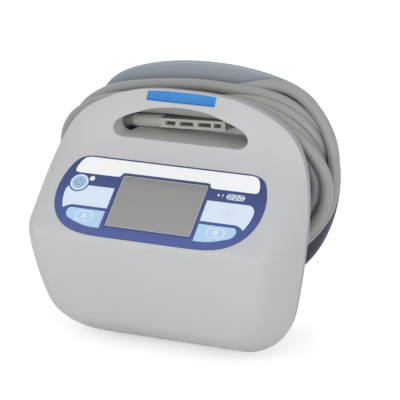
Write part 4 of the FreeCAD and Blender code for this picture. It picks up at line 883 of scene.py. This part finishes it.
@dataclass
class WoundHoses:
    """Two air hoses wound round the waist, each from its port to its garment connector.

    A turn has as many steps as there are places on the right and on the left of the waist. The left is the same for
    all turns, but for the layer, the slack and the drop.

    Attributes:
        first: the step at which the lead joins the winding.
        looseness: how far the slack swings inwards.
        swings: how often the slack swings in a turn.
        waist_height: height of the waist's middle.
        drop_from: height from which the turns drop.
        drop_over: height above it at which they have dropped fully.
        boot: length of the connector's boot, before its slots.
        slot_floor: depth of the slots' floors in front of the connector's middle.
        slots: starts and widths of the slots along the connector.
        shifts: turns wound, with the shares of the way to the inner and to the back layer that are reached there.
    """

    bench: Bench
    paint: Paint
    length: float = 2.2
    diameter: float = 8.0
    depth_middle: float = 56.0
    turns: int = 4
    first: int = 18
    looseness: float = 0.5
    swings: float = 1.31
    waist_height: float = 82.0
    drop_from: float = 105.0
    drop_over: float = 54.0
    boot: float = 20.0
    slot_floor: float = 0.85
    slots: tuple[Point2, ...] = ((4, 7), (14, 9.5), (27, 9), (38, 5))
    slot_high: float = 2.5
    slot_corner: float = 0.2
    # Gap between and thickness of the sheets of painted shade on the slots' floors.
    shade_gap: float = 0.1
    shade_thick: float = 0.12
    left_outer: tuple[Point2, ...] = (
        (0, 20), (-30, 20.5), (-56, 25.5), (-73, 38), (-82, 56), (-87, 75), (-90, 94), (-91.9, 113), (-90, 130),
        (-81, 142.5), (-62, 153.5), (-31, 159),
    )
    left_inner: tuple[Point2, ...] = (
        (0, 28), (-28, 28.2), (-50, 32), (-64, 44), (-71, 58), (-75, 76), (-77, 94), (-77, 112), (-74.5, 128),
        (-68, 141), (-54, 149.5), (-28, 152.3),
    )
    shifts: tuple[tuple[float, float, float], ...] = (
        (1.596, 0, 0), (1.673, 0, 1), (2.548, 0, 1), (2.615, 1, 1), (3.51, 1, 1), (3.577, 1, 0),
    )
    hoses: tuple[HoseFacts, ...] = (
        HoseFacts(
            "a", (77.9, 85.7),
            ((68, 72, 56), (68, 73.2, 46), (66.2, 76.2, 36), (61, 79, 28), (52, 79, 20.6), (39, 78.5, 15),
             (23, 78, 12.4), (4, 78, 11.9), (-16, 78, 11.9), (-34, 78, 12.8), (-50, 78, 15.8), (-64, 78, 22),
             (-75.5, 78, 32.5)),
            ((-28, 78, 28.2), (-46, 78.3, 30.8), (-59.5, 79.3, 40), (-66, 80.8, 54), (-68.5, 82.4, 72),
             (-68.7, 83, 90), (-68.7, 83.2, 104), (-67.4, 83.6, 115), (-63.2, 84.3, 124.6), (-57.2, 85.2, 131.2),
             (-48, 86.1, 135), (-44, 86.3, 135.3)),
            13, 0.4,
            (
                ((0, 77.9, 156.3), (30, 77.9, 156), (50, 77.9, 150.5), (67.5, 77.9, 140.4), (78.5, 78.5, 132.6),
                 (86, 80, 123.6), (90.8, 81.5, 114.2), (92, 82.5, 103.5), (91, 82, 93), (86, 80.5, 82.5),
                 (76.5, 79, 71.5), (72.5, 78, 56), (63, 77.9, 37.5), (34, 77.9, 22)),
                ((0, 85.7, 154), (28, 84.5, 154.5), (48.3, 84, 151), (63.8, 84, 145.3), (75.4, 85.8, 135.4),
                 (82.6, 89.5, 123.6), (85.5, 93.5, 111), (84.6, 94.5, 99), (81.3, 93.5, 88), (75.8, 91.5, 77),
                 (71.5, 85.7, 66), (71.5, 85.2, 53), (62.5, 85.7, 37), (34, 85.7, 21.8)),
                ((0, 85.7, 146.8), (28, 85.7, 146.8), (45, 85, 143), (60, 84.5, 136.5), (71, 84.2, 129),
                 (78.5, 84.5, 119), (83.5, 85.5, 108.5), (83, 85.7, 98), (79, 85.5, 88.5), (73.5, 85.7, 77),
                 (68.5, 85.7, 65), (66, 85.7, 53), (57, 85.7, 41), (34, 85.7, 29.6)),
                ((0, 77.9, 148), (28, 77.9, 148), (44, 77.9, 143), (56, 77.9, 137.5), (65.5, 77.9, 129.5),
                 (72.5, 77.9, 119), (75.5, 77.9, 107), (75.5, 77.9, 94), (73.5, 77.9, 81), (69, 77.9, 69),
                 (66.2, 77.9, 57), (62, 77.9, 45.5), (52, 77.9, 34.5), (34, 77.9, 29.4)),
            ),
            2.7, (4.0, 6.0, 5.0, 4.6, 0.0),
        ),
        HoseFacts(
            "b", (93.7, 101.5),
            ((68, 96, 56), (68, 96.1, 46), (66.2, 96.5, 36), (61, 96.6, 28), (52, 95.6, 20.6), (39, 94.4, 15),
             (23, 93.8, 12.4), (4, 93.7, 11.9), (-16, 93.7, 11.9), (-34, 93.7, 12.8), (-50, 93.7, 15.8),
             (-64, 93.7, 22), (-75.5, 93.7, 32.5)),
            ((-42, 93.6, 28.6), (-55.5, 93.4, 32), (-65.5, 93, 41), (-68.6, 92.8, 52)),
            14, 2.1,
            (
                ((0, 95, 161), (22, 96, 159.5), (41.5, 96, 158.8), (57.8, 96, 155.3), (71.8, 96.5, 146.8),
                 (81.5, 98.5, 136), (86.6, 100.5, 124), (88.2, 101.5, 111), (86, 101.5, 98), (80, 101.5, 84.5),
                 (71, 101, 72), (67.5, 99, 58), (62.5, 95.5, 42), (40, 93.7, 25)),
                ((0, 101.5, 155.5), (22, 101.5, 157.8), (43.7, 101.5, 164.2), (59.8, 101, 162.6),
                 (73.6, 99, 154.9), (84.2, 96.5, 143), (91, 94.5, 129), (92, 95, 113), (92, 93, 98),
                 (88.8, 90, 84.5), (80.5, 88, 72.5), (69.5, 92, 61.5), (66, 95.5, 47), (42, 100, 26)),
                ((0, 96, 150), (26, 91, 154.3), (43.9, 90, 155), (60, 90, 150.8), (72.6, 91.5, 143.2),
                 (81.4, 94, 132.5), (83.6, 97.5, 120), (81.5, 100, 107.5), (79.8, 100.5, 95), (76.5, 99, 82),
                 (71, 97.5, 69), (67, 99, 57), (61, 101, 44), (40, 101.5, 31)),
                ((0, 93.7, 148), (27, 95, 146.5), (43, 95, 145), (56, 95, 141), (65, 94.5, 133),
                 (70.5, 93.7, 122), (72, 93.7, 110), (71.5, 93.7, 97), (70.5, 93.7, 84), (68, 93.7, 72),
                 (66, 93.7, 60), (64, 93.7, 48), (54.5, 93.7, 36.5), (36, 93.7, 30)),
            ),
            90.0, (0.0, 4.5, 5.2, 2.6, 0.0),
        ),
    )

    def build(self) -> None:
        for facts in self.hoses:
            self._hose(facts)

    def place(self, x: float, depth: float, z: float) -> Vector:
        """Turn a place in millimetres into a point of the frame.

        Args:
            x: across.
            depth: from the keypad's nose backwards.
            z: height.

        Returns:
            The point in metres.
        """
        return Vector((x * MM, (depth - self.depth_middle) * MM, z * MM))

    def _layer(self, turned: float) -> Point2:
        """Where a hose lies after so many turns.

        Args:
            turned: turns wound so far, counted from the top.

        Returns:
            Shares of the way inwards and of the way to the back layer.
        """
        before = (0.0, 0, 0)
        for after in self.shifts:
            if turned < after[0]:
                share = max(0.0, (turned - before[0]) / (after[0] - before[0]))
                inward = before[1] + (after[1] - before[1]) * share
                return inward, before[2] + (after[2] - before[2]) * share
            before = after
        return before[1], before[2]

    def _turns(self, facts: HoseFacts) -> list[Vector]:
        """Wind the turns, clockwise seen from the front.

        Args:
            facts: the hose.

        Returns:
            The spline's points on the winding.
        """
        right_steps = len(facts.right[0])
        steps = right_steps + len(self.left_outer)
        front, back = facts.layers
        made = []
        for step in range(self.first, self.turns * steps + facts.last + 1):
            turned = step / steps
            number = step % steps
            if number < right_steps:
                made.append(self.place(*facts.right[step // steps - 1][number]))
                continue
            inward, behind = self._layer(turned)
            (ox, oz), (ix, iz) = self.left_outer[number - right_steps], self.left_inner[number - right_steps]
            x, z = ox + (ix - ox) * inward, oz + (iz - oz) * inward
            swing = self.looseness * math.sin(2 * math.pi * turned * self.swings + facts.phase)
            away = Vector((x, z - self.waist_height)).normalized() * -abs(swing)
            depth = front + (back - front) * behind
            lowered = facts.drops[step // steps] * max(0.0, (z - self.drop_from) / self.drop_over)
            made.append(self.place(x + away.x, depth, z + away.y - lowered))
        return made

    def _slot_shade(self, facts: HoseFacts) -> bpy.types.Object:
        """Lay thin dark sheets on the floors of a connector's slots: painted shade in the slots.

        Args:
            facts: the hose whose connector it is.

        Returns:
            The sheets of painted shade, one piece for all slots.
        """
        plates = []
        for number, (start, wide) in enumerate(self.slots):
            middle = (self.boot + start + wide / 2, 0.0)
            size = (wide - self.shade_gap, self.slot_high)
            name = f"slot_{facts.letter}_{number}"
            plates.append(self.bench.plate(name, middle, size, self.slot_corner, self.shade_thick))
        shade_sheets = self.bench.join(f"slot_shade_{facts.letter}", plates)
        turn = Matrix.Rotation(math.radians(-facts.tilt), 4, "Y") @ Matrix.Rotation(math.radians(90), 4, "X")
        x, depth, z = facts.tail[-1]
        shade_sheets.data.transform(Matrix.Translation(self.place(x, depth - self.slot_floor, z)) @ turn)
        # The slots' floors get the colour of painted shade.
        self.paint.dress(shade_sheets, "painted_slot_shade")
        return settle(shade_sheets, Body.CONSOLE)

    def _hose(self, facts: HoseFacts) -> None:
        """Make one hose as a smooth spline with round section.

        Args:
            facts: the hose.
        """
        points = [self.place(*spot) for spot in facts.lead]
        points += self._turns(facts)
        points += [self.place(*spot) for spot in facts.tail]
        name = f"hose_{facts.letter}"
        line = bpy.data.curves.new(name, "CURVE")
        line.dimensions = "3D"
        line.bevel_depth = self.diameter * MM / 2
        line.bevel_resolution = 5
        line.use_fill_caps = True
        line.resolution_u = 5
        spline = line.splines.new("NURBS")
        spline.points.add(len(points) - 1)
        for knot, point in zip(spline.points, points):
            knot.co = (*point, 1.0)
        spline.order_u = 3
        spline.use_endpoint_u = True
        hose = bpy.data.objects.new(name, line)
        bpy.context.scene.collection.objects.link(hose)
        self.paint.dress(hose, "hose")
        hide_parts(f"hose_coil_{facts.letter}", f"hose_lead_{facts.letter}", f"hose_tail_{facts.letter}")
        settle(hose, Body.CONSOLE)
        # Painted shade in the connector's slots.
        shade_sheets = self._slot_shade(facts)


# ---------------------------------------------------------------- surroundings


@dataclass
class Studio:
    """The pale floor, the soft light and the camera.

    Attributes:
        azimuth: degrees by which the camera stands to the right of the front.
        elevation: degrees by which it stands above the level.
        distance: from the camera to the place that it looks at, in metres.
        aim: the place that the camera and the lamps look at.
        ambient: strength of the light from all round.
        backdrop: brightness of the backdrop itself.
        floor_glow: brightness added to the floor where it is seen.
        lamps: names, places, sizes and powers of the soft lamps.
    """

    azimuth: float = 23.4
    elevation: float = 17.1
    distance: float = 1.300
    aim: Point3 = (0.0173, -0.0045, 0.097)
    lens: float = 183.9
    sensor: float = 36.0
    clip: Point2 = (0.05, 20.0)
    ambient: float = 0.735
    backdrop: float = 1.0
    floor_size: float = 6.0
    floor_drop: float = 0.0002
    floor_colour: Shade = (0.82, 0.82, 0.82, 1.0)
    floor_glow: float = 0.53
    lamps: tuple[tuple[str, Point3, float, float], ...] = (
        ("soft_above", (0.1, -1.7, 0.35), 1.2, 7.0),
        ("soft_right", (1.0, -1.2, 0.15), 1.0, 4.6),
    )

    def build(self) -> None:
        """Make everything round the object."""
        self._world()
        self._floor()
        self._lamps()
        self._camera()
        bpy.context.scene.view_settings.view_transform = "Standard"

    def _seen(self, tree: bpy.types.NodeTree) -> bpy.types.NodeSocket:
        """A switch that is on for rays by which the backdrop itself is seen.

        Args:
            tree: the nodes it goes into.

        Returns:
            The switch's output.
        """
        path = tree.nodes.new("ShaderNodeLightPath")
        total = path.outputs["Is Camera Ray"]
        for kind in ("Is Glossy Ray", "Is Transmission Ray"):
            add = tree.nodes.new("ShaderNodeMath")
            add.operation = "MAXIMUM"
            tree.links.new(total, add.inputs[0])
            tree.links.new(path.outputs[kind], add.inputs[1])
            total = add.outputs[0]
        return total

    def _world(self) -> None:
        """Light the object softly from all round, on a white backdrop."""
        world = bpy.data.worlds.new("studio")
        bpy.context.scene.world = world
        world.use_nodes = True
        tree = world.node_tree
        light = tree.nodes["Background"]
        light.inputs["Color"].default_value = WHITE
        light.inputs["Strength"].default_value = self.ambient
        white = tree.nodes.new("ShaderNodeBackground")
        white.inputs["Color"].default_value = WHITE
        white.inputs["Strength"].default_value = self.backdrop
        mix = tree.nodes.new("ShaderNodeMixShader")
        tree.links.new(self._seen(tree), mix.inputs["Fac"])
        tree.links.new(light.outputs["Background"], mix.inputs[1])
        tree.links.new(white.outputs["Background"], mix.inputs[2])
        tree.links.new(mix.outputs["Shader"], tree.nodes["World Output"].inputs["Surface"])

    def _floor(self) -> None:
        """Lay a white floor that keeps the object's shadow."""
        bpy.ops.object.select_all(action="DESELECT")
        bpy.ops.mesh.primitive_plane_add(size=self.floor_size, location=(0, 0, -self.floor_drop))
        floor = bpy.context.active_object
        floor.name = "floor"
        made = bpy.data.materials.new("floor")
        made.use_nodes = True
        tree = made.node_tree
        tree.nodes.remove(tree.nodes["Principled BSDF"])
        matte = tree.nodes.new("ShaderNodeBsdfDiffuse")
        matte.inputs["Color"].default_value = self.floor_colour
        glow = tree.nodes.new("ShaderNodeEmission")
        glow.inputs["Color"].default_value = WHITE
        both = tree.nodes.new("ShaderNodeAddShader")
        tree.links.new(matte.outputs["BSDF"], both.inputs[0])
        tree.links.new(glow.outputs["Emission"], both.inputs[1])
        dim = tree.nodes.new("ShaderNodeMath")
        dim.operation = "MULTIPLY"
        dim.inputs[1].default_value = self.floor_glow
        tree.links.new(self._seen(tree), dim.inputs[0])
        tree.links.new(dim.outputs[0], glow.inputs["Strength"])
        tree.links.new(both.outputs["Shader"], tree.nodes["Material Output"].inputs["Surface"])
        floor.data.materials.append(made)

    def _lamps(self) -> None:
        """Hang the soft lamps: a large one in front, a little above the object, and a weaker one to the right."""
        for name, place, size, power in self.lamps:
            lamp = bpy.data.lights.new(name, "AREA")
            lamp.shape = "DISK"
            lamp.size = size
            lamp.energy = power
            hung = bpy.data.objects.new(name, lamp)
            bpy.context.scene.collection.objects.link(hung)
            hung.location = place
            towards = Vector(self.aim) - Vector(place)
            hung.rotation_euler = towards.to_track_quat("-Z", "Y").to_euler()

    def _camera(self) -> None:
        """Set the camera up on its circle round the object."""
        turn, rise = math.radians(self.azimuth), math.radians(self.elevation)
        away = Vector((math.sin(turn) * math.cos(rise), -math.cos(turn) * math.cos(rise), math.sin(rise)))
        lens = bpy.data.cameras.new("camera")
        lens.lens = self.lens
        lens.sensor_width = self.sensor
        lens.clip_start, lens.clip_end = self.clip
        camera = bpy.data.objects.new("camera", lens)
        bpy.context.scene.collection.objects.link(camera)
        camera.location = Vector(self.aim) + away * self.distance
        camera.rotation_euler = (-away).to_track_quat("-Z", "Y").to_euler()
        bpy.context.scene.camera = camera


def dress_nodes(frame: dict, paint: Paint) -> None:
    """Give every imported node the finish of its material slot.

    Args:
        paint: the finishes.
    """
    for part in frame["record"]["subparts"]:
        paint.dress(frame["nodes"][part["node"]], part["material_slot"])
        LOG.info("node %s has finish %s", part["node"], part["material_slot"])


def main() -> None:
    """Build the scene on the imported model."""
    logging.basicConfig(level=logging.INFO, format="%(name)s: %(message)s")
    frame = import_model()
    paint, bench = Paint(), Bench()
    dress_nodes(frame, paint)
    WoundHoses(bench, paint).build()
    KeypadFace(bench, paint).build()
    Studio().build()


if __name__ == "__main__":
    main()
